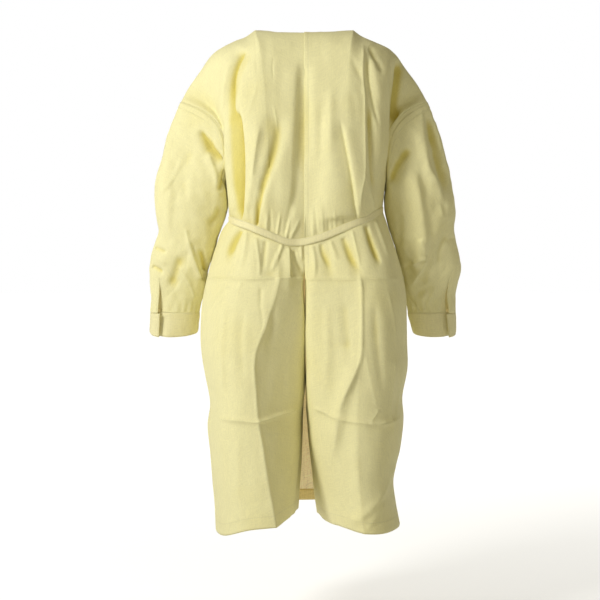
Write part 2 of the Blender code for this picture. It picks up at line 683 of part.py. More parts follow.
def build_knot(seat):
    """The tie at the front: a rounded knot, and two ends that hang from it."""
    width, height, depth = KNOT_SIZE
    turns = steps(0, 2 * math.pi, 16)[:-1]
    levels = steps(-0.5 * math.pi, 0.5 * math.pi, 8)
    rows = []
    for level in levels:
        ring_size = max(math.cos(level), 0.05) ** 0.6
        rows.append([
            (
                seat[0] + width / 2 * ring_size * math.cos(turn),
                seat[1] + SEAM_GAP + depth / 2 * (1 + ring_size * math.sin(turn)),
                seat[2] + height / 2 * math.sin(level),
            )
            for turn in turns
        ])
    mesh = bpy.data.meshes.new("belt_knot")
    count = len(turns)
    corners = [point for row in rows for point in row]
    faces = [tuple(range(count))[::-1], tuple(range(len(corners) - count, len(corners)))]
    for r in range(len(rows) - 1):
        for c in range(count):
            following = (c + 1) % count
            faces.append((
                r * count + c,
                r * count + following,
                (r + 1) * count + following,
                (r + 1) * count + c,
            ))
    mesh.from_pydata(corners, [], faces)
    mesh.shade_smooth()
    knot = bpy.data.objects.new("belt_knot", mesh)
    bpy.context.scene.collection.objects.link(knot)
    mesh.materials.append(cloth_material("belt_knot", YELLOW_SHADE))
    for side, length, splay in BELT_ENDS[1:]:
        build_belt_end(side, length, splay, seat)


def build_belt_end(side, length, splay, seat):
    """A loose belt end, hung from below the knot and clear of the front."""
    width, height, depth = KNOT_SIZE
    share = steps(0, 1, 12)
    sign = {"left": -1, "right": 1}[side]
    x = seat[0] + sign * width * BELT_END_OUT_SHARE + splay * share**1.3
    z = seat[2] - height / 2 - SEAM_GAP - length * share
    front = np.concatenate([
        body_half(half, "front", steps(0, 2, 40), steps(0.9, 1.6, 60)).reshape(-1, 3)
        for half in ("left", "right")
    ])
    y = np.empty_like(x)
    for i, (at_x, at_z) in enumerate(zip(x, z)):
        near = (np.abs(front[:, 0] - at_x) < 0.016) & (np.abs(front[:, 2] - at_z) < 0.012)
        y[i] = front[near, 1].max() + BELT_END_CLEAR
    y = blend(seat[1] + depth / 2, y, ease(share / 0.3))
    half = BELT_END_WIDTH / 2
    edges = [np.array([x + aside, y, z + aside * splay]).T for aside in (-half, half)]
    points = np.stack(edges, axis=1)
    cloth_wall("belt_end_" + side, points, cross_normals(points), YELLOW_SHADE)


def clear_scene():
    for item in list(bpy.data.objects):
        bpy.data.objects.remove(item, do_unlink=True)


clear_scene()
armhole_normals = build_body()
for each_side in ("left", "right"):
    build_sleeve(each_side, armhole_normals)
    build_cuff(each_side)
    build_placket(each_side)
build_knot(build_belt())
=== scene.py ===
"""Isolation gown with a back opening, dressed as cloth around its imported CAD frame.

The back faces -Y, +X is the wearer's right and +Z is up. Sizes are in metres, and in
millimetres in the tables of folds and creases.
"""

import math

import bpy
import numpy as np
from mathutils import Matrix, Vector, noise


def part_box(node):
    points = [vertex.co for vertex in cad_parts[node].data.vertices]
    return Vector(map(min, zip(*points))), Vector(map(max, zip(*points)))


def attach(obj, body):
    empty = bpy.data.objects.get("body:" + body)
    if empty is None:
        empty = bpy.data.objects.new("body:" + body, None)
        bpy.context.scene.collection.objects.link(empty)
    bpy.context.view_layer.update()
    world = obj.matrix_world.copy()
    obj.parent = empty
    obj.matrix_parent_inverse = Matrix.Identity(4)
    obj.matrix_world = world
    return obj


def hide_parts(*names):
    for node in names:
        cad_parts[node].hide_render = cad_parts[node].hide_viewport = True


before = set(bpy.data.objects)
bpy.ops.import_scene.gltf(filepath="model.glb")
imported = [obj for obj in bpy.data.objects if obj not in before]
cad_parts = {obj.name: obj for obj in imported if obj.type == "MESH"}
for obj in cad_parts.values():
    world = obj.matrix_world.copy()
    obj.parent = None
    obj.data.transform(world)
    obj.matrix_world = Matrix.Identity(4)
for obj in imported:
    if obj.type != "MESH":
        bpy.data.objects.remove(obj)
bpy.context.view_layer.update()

# Front panel: one cut of poly-cotton plain weave, from the neckline to a hem turned
# up inside. It is sewn to the two back halves at the shoulders and sides, and hangs
# from the shoulders in soft folds, with the square lines it was folded on in its pack.

SIGN = {"left": -1, "right": 1}
FACING = {"back": -1, "front": 1}
SHOULDER_OUT = 0.3075
SHOULDER_DROP = 0.180
NECK_HALF = 0.1225
NECKLINE = {"back": (0.060, 0.0175), "front": (0.072, 0.090)}
ARMHOLE_DEPTH = 0.205
ARMHOLE_BULGE = 0.062
ARMHOLE_HOOK = 5
UNDERARM_OUT = {"left": 0.192, "right": 0.203}
SHOULDER_ROUNDING = 0.085
SIDE_SQUARENESS = 0.87
SIDE_BELT_OUT = 0.2
FRONT_BELT_Z = -0.455
FRONT_HEM_Z = -1.2125
LIP_PULL = {"left": 4.0, "right": 4.5}
# How far the left half passes under the right, and where across and down this grows
CENTRE_LAP = 0.018
LAP_ACROSS = 1.55, 2.0
LAP_DOWN = 1.14, 1.04
# The armhole ends at this share of the way from the top edge to the belt
ARM_SHARE = 0.6
CLOTH_THICK = 0.0008
TURNED_THICK = 0.0006
TURNED_CLEAR = 0.0004
TURNED_ROWS = 7
HEM_DEPTH = 0.030
HEM_STITCH = 0.028
NECK_TURN = 0.011
NECK_STITCH = 0.009
SEAM_STITCH = 0.004

# Each cloth's second colour is painted shade: the deeper, darker gold that the troughs of its folds
# take on with their depth.
CLOTH_LIGHT = (0.87, 0.82, 0.46)
CLOTH_TROUGH_SHADE = (0.82, 0.69, 0.12)
# The inside's own cloth colour, made a paler beige as painted light that stands in for light let
# through the cloth into the shaded inside.
LINING_LIT_BEIGE = (0.90, 0.80, 0.50)
LINING_TROUGH_SHADE = (0.80, 0.66, 0.32)
TURNED_LIGHT = (0.84, 0.70, 0.30)
TURNED_TROUGH_SHADE = (0.76, 0.56, 0.16)

SHOULDER = (
    ("share", "out", "drop"),
    (0.00, 0.3075, 0.180),
    (0.13, 0.2910, 0.150),
    (0.36, 0.2560, 0.100),
    (0.54, 0.2275, 0.061),
    (0.78, 0.1740, 0.031),
    (0.91, 0.1430, 0.019),
    (1.00, 0.1225, 0.0045),
)
BELT_LINE = (
    ("x", "z"),
    (-0.180, -0.477),
    (-0.139, -0.492),
    (-0.080, -0.518),
    (-0.038, -0.534),
    (0.000, -0.533),
    (0.036, -0.524),
    (0.093, -0.501),
    (0.152, -0.476),
    (0.195, -0.452),
)
SKIRT_SIDES = (
    ("share", "left", "right"),
    (0.00, 0.186, 0.195),
    (0.03, 0.2035, 0.203),
    (0.07, 0.2155, 0.213),
    (0.13, 0.2300, 0.2285),
    (0.20, 0.2435, 0.244),
    (0.27, 0.2535, 0.2535),
    (0.34, 0.2568, 0.255),
    (0.42, 0.2555, 0.2555),
    (0.50, 0.2465, 0.2573),
    (0.60, 0.2335, 0.244),
    (0.66, 0.2395, 0.247),
    (0.76, 0.2325, 0.2385),
    (0.86, 0.2270, 0.221),
    (0.93, 0.2222, 0.2272),
    (1.00, 0.2200, 0.2375),
)
HEM = (
    ("across", "left", "right"),
    (0.0, -1.236, -1.226),
    (0.4, -1.238, -1.222),
    (0.8, -1.212, -1.222),
    (1.0, -1.205, -1.220),
    (1.3, -1.197, -1.214),
    (1.6, -1.205, -1.222),
    (2.0, -1.2155, -1.228),
)
# Down is 0 at the top edge, 1 at the belt and 2 at the hem
FRONT = (
    ("down", "ridge_out", "ridge_back", "edge_out", "edge_back"),
    (0.00, 0.090, 0.100, 0.000, 0.095),
    (0.40, 0.090, 0.126, 0.000, 0.122),
    (0.85, 0.090, 0.140, 0.000, 0.136),
    (1.00, 0.090, 0.130, 0.000, 0.128),
    (1.20, 0.100, 0.165, 0.000, 0.152),
    (1.50, 0.115, 0.196, 0.000, 0.176),
    (2.00, 0.125, 0.218, 0.000, 0.205),
)
# Main folds: x and z of both ends as seen from the back, sideways bow, height out of the
# cloth, which is negative in a trough, and half width
FRONT_FOLDS = (
    (-150, -90, -110, -430, 8, -4.3, 13.8),
    (145, -100, 120, -440, -8, -4.6, 13.8),
    (20, -160, 40, -440, 6, -3.6, 13.8),
    (-50, -250, -30, -450, 0, 4.8, 11.9),
    (-132, -460, -165, -640, 0, -3.6, 11.4),
    (-70, -450, -100, -700, 0, -4, 12.2),
    (-20, -450, -14, -780, 4, 6, 13.6),
    (60, -450, 92, -730, 0, -4.3, 12.2),
    (125, -450, 160, -660, 0, -3.6, 11.4),
    (120, -560, 140, -1170, 10, 6.6, 17),
    (-130, -640, -120, -1190, -10, 6.6, 17),
)
# Finer creases: height out of the cloth, half widths to the left and right as one goes
# along, their share left at the far end, sharp or soft, the shares over which the two
# ends fade, and then x and z of each point that the crease runs through
FRONT_CREASES = (
    (3, 6, 6, 1, 1, 0.2, 0.2, 1, -120, 2, -280, 0, -430),
    (3.4, 8, 6, 1, 1, 0.1, 0.1, 2, -480, 4, -800, 2, -1200),
    (2.4, 6, 6, 1, 1, 0.1, 0.2, -127, -60, -121, -240, -118, -400),
    (2.4, 6, 6, 1, 1, 0.1, 0.2, 129, -60, 124, -250, 121, -410),
    (2.2, 6, 6, 1, 1, 0.1, 0.2, -120, -640, -124, -900, -120, -1180),
    (2.2, 6, 6, 1, 1, 0.2, 0.1, 124, -700, 121, -940, 124, -1200),
    (2.4, 6, 5, 1, 1, 0.1, 0.1, -250, -622, -80, -626, 70, -620, 250, -623),
    (3.4, 8, 6, 1, 1, 0.1, 0.1, -240, -955, -90, -962, 60, -949, 240, -957),
    (-6, 10, 8, 1, 0, 0.3, 0.3, -60, -130, -52, -220, -60, -330),
    (5, 8, 9, 1, 0, 0.2, 0.3, 62, -120, 80, -230, 78, -350),
    (-6, 6, 10, 1, 0, 0.2, 0.3, 222, -90, 205, -180, 198, -270),
    (-6, 10, 6, 1, 0, 0.2, 0.3, -225, -100, -200, -190, -190, -280),
    (4.5, 6, 8, 1, 0, 0.2, 0.3, -180, -200, -172, -300, -160, -400),
    (-5.5, 8, 8, 1, 0, 0.4, 0.1, 160, -290, 150, -380, 148, -440),
    (3, 4, 4, 1, 0, 0.4, 0.1, -100, -370, -92, -440),
    (3.4, 4, 3, 1, 0, 0.4, 0.1, -74, -380, -66, -442),
    (3, 3, 4, 1, 0, 0.4, 0.1, -22, -390, -18, -444),
    (3.4, 4, 4, 1, 0, 0.4, 0.1, 12, -372, 10, -444),
    (3, 3, 4, 1, 0, 0.4, 0.1, 50, -390, 46, -444),
    (3.4, 4, 4, 1, 0, 0.4, 0.1, 92, -366, 84, -440),
    (4, 4, 5, 1, 0, 0.1, 0.5, -108, -468, -116, -530, -128, -590),
    (-4, 4, 5, 1, 0, 0.1, 0.5, -84, -466, -90, -520, -92, -560),
    (4.5, 5, 4, 1, 0, 0.1, 0.5, -50, -466, -56, -540, -50, -610),
    (-4, 4, 4, 1, 0, 0.1, 0.5, 14, -466, 22, -540, 26, -600),
    (4.5, 5, 5, 1, 0, 0.1, 0.5, 36, -466, 44, -530, 50, -590),
    (4, 4, 5, 1, 0, 0.1, 0.5, 90, -466, 104, -540, 112, -620),
    (-4, 5, 5, 1, 0, 0.1, 0.5, 110, -468, 128, -520, 140, -580),
    (-5.5, 14, 12, 1, 0, 0.3, 0.2, -70, -900, -60, -1020, -72, -1190),
    (6, 14, 16, 1, 0, 0.3, 0.2, 60, -820, 72, -1000, 66, -1190),
    (-6, 16, 14, 1, 0, 0.3, 0.2, 180, -760, 192, -960, 184, -1180),
    (5, 10, 12, 1, 0, 0.3, 0.2, -190, -700, -200, -940, -190, -1150),
)
FOLD_FADE = 0.3
DEEP_FOLD = 0.020
CREASE_STEPS = 6
CREASE_REACH = 5


def column(table, name):
    """The values of one named column of a table."""
    place = table[0].index(name)
    return np.array([row[place] for row in table[1:]], float)


def smooth_curve(ends, values, at):
    """A smooth curve through the values at the given ends."""
    slopes = np.gradient(values, ends)
    at = np.clip(at, ends[0], ends[-1])
    i = np.clip(np.searchsorted(ends, at, side="right") - 1, 0, len(ends) - 2)
    span = ends[i + 1] - ends[i]
    t = (at - ends[i]) / span
    rise = values[i + 1] - values[i]
    bend_in = slopes[i] * span - rise
    bend_out = rise - slopes[i + 1] * span
    return values[i] + rise * t + t * (1 - t) * (bend_in * (1 - t) + bend_out * t)


def smooth_value(table, name, at):
    """A column read as a smooth curve over the table's first column."""
    return smooth_curve(column(table, table[0][0]), column(table, name), at)


def ease(t):
    """0 to 1, level at both ends."""
    t = np.clip(t, 0.0, 1.0)
    return t * t * (3 - 2 * t)


def ease_between(value, start, end):
    """0 at the start and 1 at the end, level at both."""
    return ease((value - start) / (end - start))


def blend(a, b, share):
    return a + (b - a) * share


def unit(vectors):
    return vectors / np.linalg.norm(vectors, axis=-1, keepdims=True)


def added_up(steps):
    """What steps along a line, or down each column, add up to, from 0."""
    return np.concatenate([np.zeros_like(steps[:1]), np.cumsum(steps, axis=0)])


def length_along(points):
    """Length reached at each point of a line, or down each column of a grid."""
    return added_up(np.linalg.norm(np.diff(points, axis=0), axis=-1))


def main_folds(folds, x, z):
    """How far the main folds lift the cloth at each x, z."""
    height = np.zeros_like(x)
    for x0, z0, x1, z1, bow, fold_height, width in np.array(folds) / 1000:
        length = math.hypot(x1 - x0, z1 - z0)
        along_x, along_z = (x1 - x0) / length, (z1 - z0) / length
        along = ((x - x0) * along_x + (z - z0) * along_z) / length
        aside = (x - x0) * along_z - (z - z0) * along_x
        inside = np.clip(along, 0, 1)
        aside = aside - 4 * bow * inside * (1 - inside)
        beyond = (along - inside) * length
        fade = ease(inside / FOLD_FADE) * ease((1 - inside) / FOLD_FADE)
        height += fold_height * fade * np.exp(-(aside**2 + beyond**2) / width**2)
    return height


def fine_creases(creases, x, z):
    """How far the finer creases lift the cloth at each x, z."""
    height = np.zeros_like(x)
    for lift, left, right, end_share, sharp, fade_in, fade_out, *path in creases:
        lift, left, right = lift / 1000, left / 1000, right / 1000
        path = np.reshape(path, (-1, 2)) / 1000
        last = len(path) - 1
        walk = np.linspace(0, last, CREASE_STEPS * last + 1)
        knots = np.arange(last + 1, dtype=float)
        line = np.stack([smooth_curve(knots, axis, walk) for axis in path.T], axis=1)
        reach = CREASE_REACH * max(left, right) * max(1, end_share)
        near = (x > line[:, 0].min() - reach) & (x < line[:, 0].max() + reach)
        near &= (z > line[:, 1].min() - reach) & (z < line[:, 1].max() + reach)
        near_x, near_z = x[near], z[near]
        lengths = np.linalg.norm(np.diff(line, axis=0), axis=1)
        starts = added_up(lengths)
        closest = np.full(near_x.shape, np.inf)
        aside = np.zeros_like(near_x)
        share = np.zeros_like(near_x)
        for i, length in enumerate(lengths):
            along_x, along_z = (line[i + 1] - line[i]) / length
            from_x, from_z = near_x - line[i, 0], near_z - line[i, 1]
            along = np.clip(from_x * along_x + from_z * along_z, 0, length)
            distance = np.hypot(from_x - along * along_x, from_z - along * along_z)
            closer = distance < closest
            closest = np.where(closer, distance, closest)
            aside = np.where(closer, from_z * along_x - from_x * along_z, aside)
            share = np.where(closer, (starts[i] + along) / starts[-1], share)
        wide = closest / (np.where(aside > 0, right, left) * blend(1, end_share, share))
        profile = np.exp(-wide) if sharp else np.exp(-(wide**2))
        height[near] += lift * profile * ease(share / fade_in) * ease((1 - share) / fade_out)
    return height


def unevenness(points, lumps, shift=0):
    """How far soft lumps lift the cloth. Each kind has a height, its sizes along x, y and z,
    and a start."""
    lift = 0
    for height, sizes, start in lumps:
        spots = points.reshape(-1, 3) / np.array(sizes) + (start + shift)
        lift = lift + height * np.array([noise.noise(Vector(spot)) for spot in spots])
    return lift.reshape(points.shape[:-1])


def armhole(side, turn):
    """Out, bulge and height of the armhole seam, where turn runs 0 to 1 down the seam."""
    drop = (1 - np.cos(math.pi * turn)) / 2
    under = UNDERARM_OUT[side]
    out = under + (SHOULDER_OUT - under) * (1 - drop) ** ARMHOLE_HOOK
    bulge = ARMHOLE_BULGE * 2 * np.sqrt(drop * (1 - drop))
    return out, bulge, -SHOULDER_DROP - ARMHOLE_DEPTH * drop


def turn_in(ridge, lip, edge, pull, share):
    """Curves from ridge to edge that the lip pulls to it, at equal shares of length."""
    t = np.linspace(0, 1, 97)[:, None]
    weights = (1 - t) ** 2, 2 * pull * t * (1 - t), t**2
    rows = []
    for corners in zip(ridge, lip, edge):
        curve = sum(weight * corner for weight, corner in zip(weights, corners)) / sum(weights)
        reached = length_along(curve)
        rows.append([np.interp(share, reached / reached[-1], axis) for axis in curve.T])
    return np.array(rows)


def section(side, table, across, down):
    """Out and back distances of level sections, with a row for each down.

    Across is 0 at the side seam, 1 at the ridge and 2 at the centre.
    """
    def corner(name):
        pair = (smooth_value(table, name + way, down) for way in ("_out", "_back"))
        return np.stack(tuple(pair), axis=-1)

    side_out = smooth_value(SKIRT_SIDES, side, down - 1)[:, None]
    ridge, edge = corner("ridge"), corner("edge")
    ridge_out, ridge_back = ridge[:, :1], ridge[:, 1:]
    outer = np.clip(across, 0, 1) * math.pi / 2
    inner = np.clip(across - 1, 0, 1)
    if "lip_out" in table[0]:
        turned = turn_in(ridge, corner("lip"), edge, LIP_PULL[side], inner)
        inner_out, inner_back = turned[:, 0], turned[:, 1]
    else:
        inner_out = blend(ridge_out, edge[:, :1], inner)
        inner_back = blend(edge[:, 1:], ridge_back, (1 + np.cos(inner * math.pi)) / 2)
    outer_out = blend(ridge_out, side_out, np.cos(outer) ** SIDE_SQUARENESS)
    outer_back = ridge_back * np.sin(outer) ** SIDE_SQUARENESS
    out = np.where(across <= 1, outer_out, inner_out)
    back = np.where(across <= 1, outer_back, inner_back)
    return out, back


def body_half(side, face, table, folds, across, down):
    """Points of half the back or half the front, in rows and columns, and its folds' lift."""
    sign = SIGN[side]
    out, back = section(side, table, across, np.maximum(down, 1))
    belt_x = section(side, table, across, np.ones_like(down))[0]
    arm_drop = (1 - np.cos(math.pi * np.clip(down / ARM_SHARE, 0, 1))) / 2
    chest_down = np.where(down < ARM_SHARE, ARM_SHARE * arm_drop, np.minimum(down, 1))
    chest_back = section(side, table, across, chest_down)[1]
    across, down = np.meshgrid(across, down)
    side_belt = smooth_value(BELT_LINE, "z", sign * SIDE_BELT_OUT)
    if face == "front":
        belt_height = blend(side_belt, FRONT_BELT_Z, ease(across / 2))
        hem_height = blend(smooth_value(HEM, side, 0.0), FRONT_HEM_Z, ease(across))
    else:
        belt_height = smooth_value(BELT_LINE, "z", sign * belt_x)
        hem_height = smooth_value(HEM, side, across)
    skirt_height = blend(belt_height, hem_height, np.clip(down - 1, 0, 1))

    neck_back, neck_drop = NECKLINE[face]
    seam = np.clip(across, 0, 1)
    neck = np.clip(across - 1, 0, 1)
    round_neck = np.sin(neck * math.pi / 2)
    on_seam = across <= 1
    top_out = np.where(on_seam, smooth_value(SHOULDER, "out", seam), NECK_HALF * (1 - neck))
    neck_height = -blend(SHOULDER[-1][2], neck_drop, round_neck)
    top_height = np.where(on_seam, -smooth_value(SHOULDER, "drop", seam), neck_height)
    top_back = neck_back * round_neck

    arm_share = ARMHOLE_DEPTH / (-side_belt - SHOULDER_DROP)
    arm_out, arm_bulge, arm_height = armhole(side, np.clip(down / ARM_SHARE, 0, 1))
    arm_drop = (-SHOULDER_DROP - arm_height) / ARMHOLE_DEPTH
    lower = np.clip((down - ARM_SHARE) / (1 - ARM_SHARE), 0, 1)
    drop = arm_share * arm_drop + (1 - arm_share) * lower
    belt_side = smooth_value(SKIRT_SIDES, side, 0.0)
    side_out = blend(arm_out, belt_side, lower)
    straight_side = blend(SHOULDER_OUT, belt_side, drop)
    upper_out = blend(top_out, belt_x, drop)
    upper_out += (side_out - straight_side) * np.clip(1 - across / 1.5, 0, 1) ** 1.6
    upper_height = blend(top_height, belt_height, drop)
    turn_over = np.clip((top_height - upper_height) / SHOULDER_ROUNDING, 0, 1)
    rounded = np.sqrt(1 - (1 - turn_over) ** 2)
    bulge_share = 1 - np.sin(np.clip(across, 0, 1) * math.pi / 2) ** SIDE_SQUARENESS
    melted = ARMHOLE_BULGE * np.sin(np.clip(drop / arm_share / 1.25, 0, 1) * math.pi) ** 2
    arm_bulge = blend(arm_bulge, melted, ease(across / 0.12))
    upper_back = blend(top_back, chest_back, rounded) + arm_bulge * bulge_share**1.4

    upper = down < 1
    out = np.where(upper, upper_out, out)
    back = np.where(upper, upper_back, back)
    height = np.where(upper, upper_height, skirt_height)
    near_seam = ease(across / 0.35) * ease(down / 0.12)
    near_belt = 1 - np.exp(-(((down - 1) / 0.05) ** 2))
    near_edge = ease((2 - across) / 0.15) if face == "back" else 1
    lift = main_folds(folds, sign * out, height) * near_seam * near_belt * near_edge
    if face == "back" and side == "left":
        lapped = ease_between(across, *LAP_ACROSS) * ease_between(down, *LAP_DOWN)
        out = out - CENTRE_LAP * lapped
    return np.stack([sign * out, FACING[face] * (back + lift), height], axis=-1), lift


def outward(points, around=False):
    """Unit normals of a grid, which point out of the garment."""
    along_columns = np.gradient(points, axis=1)
    if around:
        joined = np.concatenate([points[:, -2:-1], points, points[:, 1:2]], axis=1)
        along_columns = (joined[:, 2:] - joined[:, :-2]) / 2
    return unit(np.cross(along_columns, np.gradient(points, axis=0)))


def new_piece(name, corners, faces, finishes):
    """A smooth-shaded piece of the given corners, faces and finishes."""
    mesh = bpy.data.meshes.new(name)
    mesh.from_pydata(np.array(corners).tolist(), [], np.array(faces).tolist())
    mesh.shade_smooth()
    for finish in finishes:
        mesh.materials.append(finish)
    piece = bpy.data.objects.new(name, mesh)
    bpy.context.scene.collection.objects.link(piece)
    return piece


def cloth_shell(name, points, finishes, thick=CLOTH_THICK, lift=None, sewn=None, joined_rows=0):
    """A thin cloth shell whose outer face is a grid of points.

    It keeps the lengths along the cloth, for the weave, the lift of its folds, for the
    painted shade in the troughs, and the distance to the nearest sewn line, for the puckers
    and the groove with its painted shade. In the first joined_rows the last column is the
    first, as on a tube.
    """
    def four_corners(grid):
        return np.stack([grid[:-1, :-1], grid[:-1, 1:], grid[1:, 1:], grid[1:, :-1]], axis=2)

    rows, columns = points.shape[:2]
    number = np.arange(rows * columns).reshape(rows, columns)
    number[:joined_rows, -1] = number[:joined_rows, 0]
    used, faces = np.unique(four_corners(number).reshape(-1), return_inverse=True)
    piece = new_piece(name, points.reshape(-1, 3)[used], faces.reshape(-1, 4), finishes)

    across = length_along(points.swapaxes(0, 1)).T
    from_middle = across - across[:, columns // 2, None]
    lengths = np.stack([from_middle, length_along(points)], axis=-1)
    spread = four_corners(lengths).astype(np.float32)
    piece.data.uv_layers.new(name="cloth").data.foreach_set("uv", spread.reshape(-1))
    lift = np.zeros((rows, columns)) if lift is None else lift
    sewn = np.ones((rows, columns)) if sewn is None else sewn
    # fold_depth carries the painted shade of the troughs into the material.
    for kept, values in (("fold_depth", np.clip(-lift / DEEP_FOLD, -1, 1)), ("sewn_line", sewn)):
        layer = piece.data.attributes.new(kept, "FLOAT", "POINT")
        layer.data.foreach_set("value", values.reshape(-1)[used].astype(np.float32))
    shell = piece.modifiers.new("thickness", "SOLIDIFY")
    shell.thickness = thick
    shell.offset = -1
    shell.material_offset = len(finishes) - 1
    return piece


def from_edge(points, edge):
    """Length along the cloth from one edge of a grid: top, bottom, first or last column."""
    if edge in ("first", "last"):
        return from_edge(points.swapaxes(0, 1), {"first": "top", "last": "bottom"}[edge]).T
    reached = length_along(points)
    return reached if edge == "top" else reached[-1:] - reached


def edge_first(points, edge):
    """A grid turned so that an edge is its first row, with its normals and lengths from it."""
    grids = points, outward(points), from_edge(points, edge)
    if edge in ("first", "last"):
        grids = [grid.swapaxes(0, 1) for grid in grids]
    if edge in ("bottom", "last"):
        grids = [grid[::-1] for grid in grids]
    return grids


def read_columns(values, reached, at):
    """Values of a grid at set lengths down each of its columns, which reach these lengths."""
    return np.stack([
        np.stack([np.interp(lengths, own, axis) for axis in rows.T], axis=-1)
        for rows, own, lengths in zip(values.swapaxes(0, 1), reached.T, at.T)
    ], axis=1)


def sewn_lines(points, lines):
    """Distance to the nearest sewn line. Each is an edge, the distance in, and where it runs."""
    nearest = np.ones(points.shape[:2])
    for edge, distance, runs in lines:
        away = np.where(runs, from_edge(points, edge) - distance, 1.0)
        nearest = np.where(np.abs(away) < np.abs(nearest), away, nearest)
    return nearest


def feed(tree, made, inputs):
    """A node with its inputs set to values or linked to outputs."""
    for place, value in dict(inputs).items():
        if isinstance(value, bpy.types.NodeSocket):
            tree.links.new(value, made.inputs[place])
        else:
            made.inputs[place].default_value = value
    return made


def node(tree, kind, inputs=(), **settings):
    """A new shader node with its settings and inputs."""
    made = tree.nodes.new("ShaderNode" + kind)
    for name, value in settings.items():
        setattr(made, name, value)
    return feed(tree, made, inputs)


def reckoned(tree, operation, *numbers, **settings):
    """The result of a sum."""
    return node(tree, "Math", enumerate(numbers), operation=operation, **settings).outputs[0]


def ranged(tree, value, low, high, to_low, to_high, kind="SMOOTHSTEP"):
    """A value led from one range to another."""
    ends = {"From Min": low, "From Max": high, "To Min": to_low, "To Max": to_high}
    return node(tree, "MapRange", {"Value": value, **ends}, interpolation_type=kind).outputs[0]


def cloudy(tree, place, scale, detail, **more):
    """Soft patches, 0 to 1, in all three directions."""
    inputs = {"Vector": place, "Scale": scale, "Detail": detail, **more}
    return node(tree, "TexNoise", inputs).outputs["Fac"]


def new_finish(name):
    finish = bpy.data.materials.new(name)
    finish.use_nodes = True
    return finish, finish.node_tree, finish.node_tree.nodes["Principled BSDF"]


YARN_PITCH = 0.00055
SLUB_STRETCHES = ((34, 820, 1), (820, 34, 1))
# From where to where painted shade, a deeper and darker gold, grows with a fold's depth in
# its trough, and the groove, with its painted shade, and the puckers fade with the
# distance from a sewn line
TROUGH_SHADE_DEPTHS = 0.06, 0.6
GROOVE_AND_SHADE_FADE = 0.0003, 0.0016
PUCKER_FADE = 0.001, 0.012


def woven_cloth(name, light, trough_shade, speckle=0.08, shade_share=0.75, plies=1.0, painted_glow=0.0):
    """Poly-cotton plain weave: fine checked yarns, uneven thicker threads both ways, soft
    mottling, painted shade as a deeper, darker gold in the troughs and darker seam grooves,
    and a painted glow that stands in for the light let through by the thin cloth."""
    finish, tree, shader = new_finish(name)
    lengths = node(tree, "UVMap", uv_map="cloth").outputs["UV"]
    place = node(tree, "TexCoord").outputs["Object"]

    threads = []
    for stretch in SLUB_STRETCHES:
        mapped = node(tree, "Mapping", {"Vector": lengths, "Scale": stretch}).outputs[0]
        threads.append(cloudy(tree, mapped, 1.0, 3.0, Roughness=0.6))
    slubs = ranged(tree, reckoned(tree, "ADD", *threads), 0.7, 1.3, -1.0, 1.0, "LINEAR")
    patches = cloudy(tree, place, 7.0, 4.0)
    flecks = cloudy(tree, place, 260.0, 2.0)

    # Painted shade: the deeper the trough, the more its colour turns to the darker gold, blended
    # with random mottling.
    depth = node(tree, "Attribute", attribute_name="fold_depth").outputs["Fac"]
    shade_and_mottling = ranged(tree, depth, *TROUGH_SHADE_DEPTHS, 0.0, shade_share)
    line = node(tree, "Attribute", attribute_name="sewn_line").outputs["Fac"]
    from_line = reckoned(tree, "ABSOLUTE", line)
    # The sewn line's groove is both a real bump and painted shade, a darkening of the colour along
    # it.
    groove_and_shade = ranged(tree, from_line, *GROOVE_AND_SHADE_FADE, 1.0, 0.0)
    drawn = ranged(tree, from_line, *PUCKER_FADE, 1.0, 0.0)
    drift = reckoned(tree, "SUBTRACT", patches, 0.5)
    shade_and_mottling = reckoned(tree, "MULTIPLY_ADD", drift, 0.5, shade_and_mottling, use_clamp=True)
    tint = node(tree, "Mix", {"Factor": shade_and_mottling, 6: (*light, 1), 7: (*trough_shade, 1)}, data_type="RGBA")
    fleck = reckoned(tree, "SUBTRACT", flecks, 0.5)
    # Slubs and flecks vary the tone at random. The grooves and the troughs darken it as painted
    # shade.
    tone = 1.0
    for part, share in ((slubs, speckle), (fleck, 1.6 * speckle), (groove_and_shade, -0.06), (shade_and_mottling, -0.16)):
        tone = reckoned(tree, "MULTIPLY_ADD", part, share, tone)
    shade = node(tree, "VectorMath", {0: tint.outputs[2], "Scale": tone}, operation="SCALE")

    split = node(tree, "SeparateXYZ", {0: lengths})
    yarns = []
    for axis in (0, 1):
        turns = reckoned(tree, "MULTIPLY", split.outputs[axis], math.pi / YARN_PITCH)
        yarns.append(reckoned(tree, "SINE", turns))
    check = reckoned(tree, "MULTIPLY", *yarns)
    relief = reckoned(tree, "MULTIPLY_ADD", slubs, 0.8, check)
    rumple = cloudy(tree, place, 38.0, 4.0, Roughness=0.5, Distortion=0.6)
    pull = reckoned(tree, "MULTIPLY", cloudy(tree, place, 85.0, 1.5), drawn)
    sunk = reckoned(tree, "MULTIPLY_ADD", groove_and_shade, -0.5, pull)
    surface = {}
    for height, strength, distance in (
        (relief, 0.5, 0.00022), (rumple, 0.09, 0.004 * plies), (sunk, 0.5, 0.0012),
    ):
        bump = {"Height": height, "Strength": strength, "Distance": distance, **surface}
        surface = {"Normal": node(tree, "Bump", bump).outputs[0]}
    feed(tree, shader, {
        **surface,
        "Base Color": shade.outputs[0],
        "Roughness": ranged(tree, slubs, -1.0, 1.0, 0.75, 0.87, "LINEAR"),
        # Painted glow: the cloth gives off its own colour, in place of light let through it.
        "Emission Color": shade.outputs[0],
        "Emission Strength": painted_glow,
        "Sheen Weight": 0.18,
        "Sheen Roughness": 0.45,
        "Sheen Tint": (1.0, 0.97, 0.86, 1),
        "Specular IOR Level": 0.25,
    })
    return finish


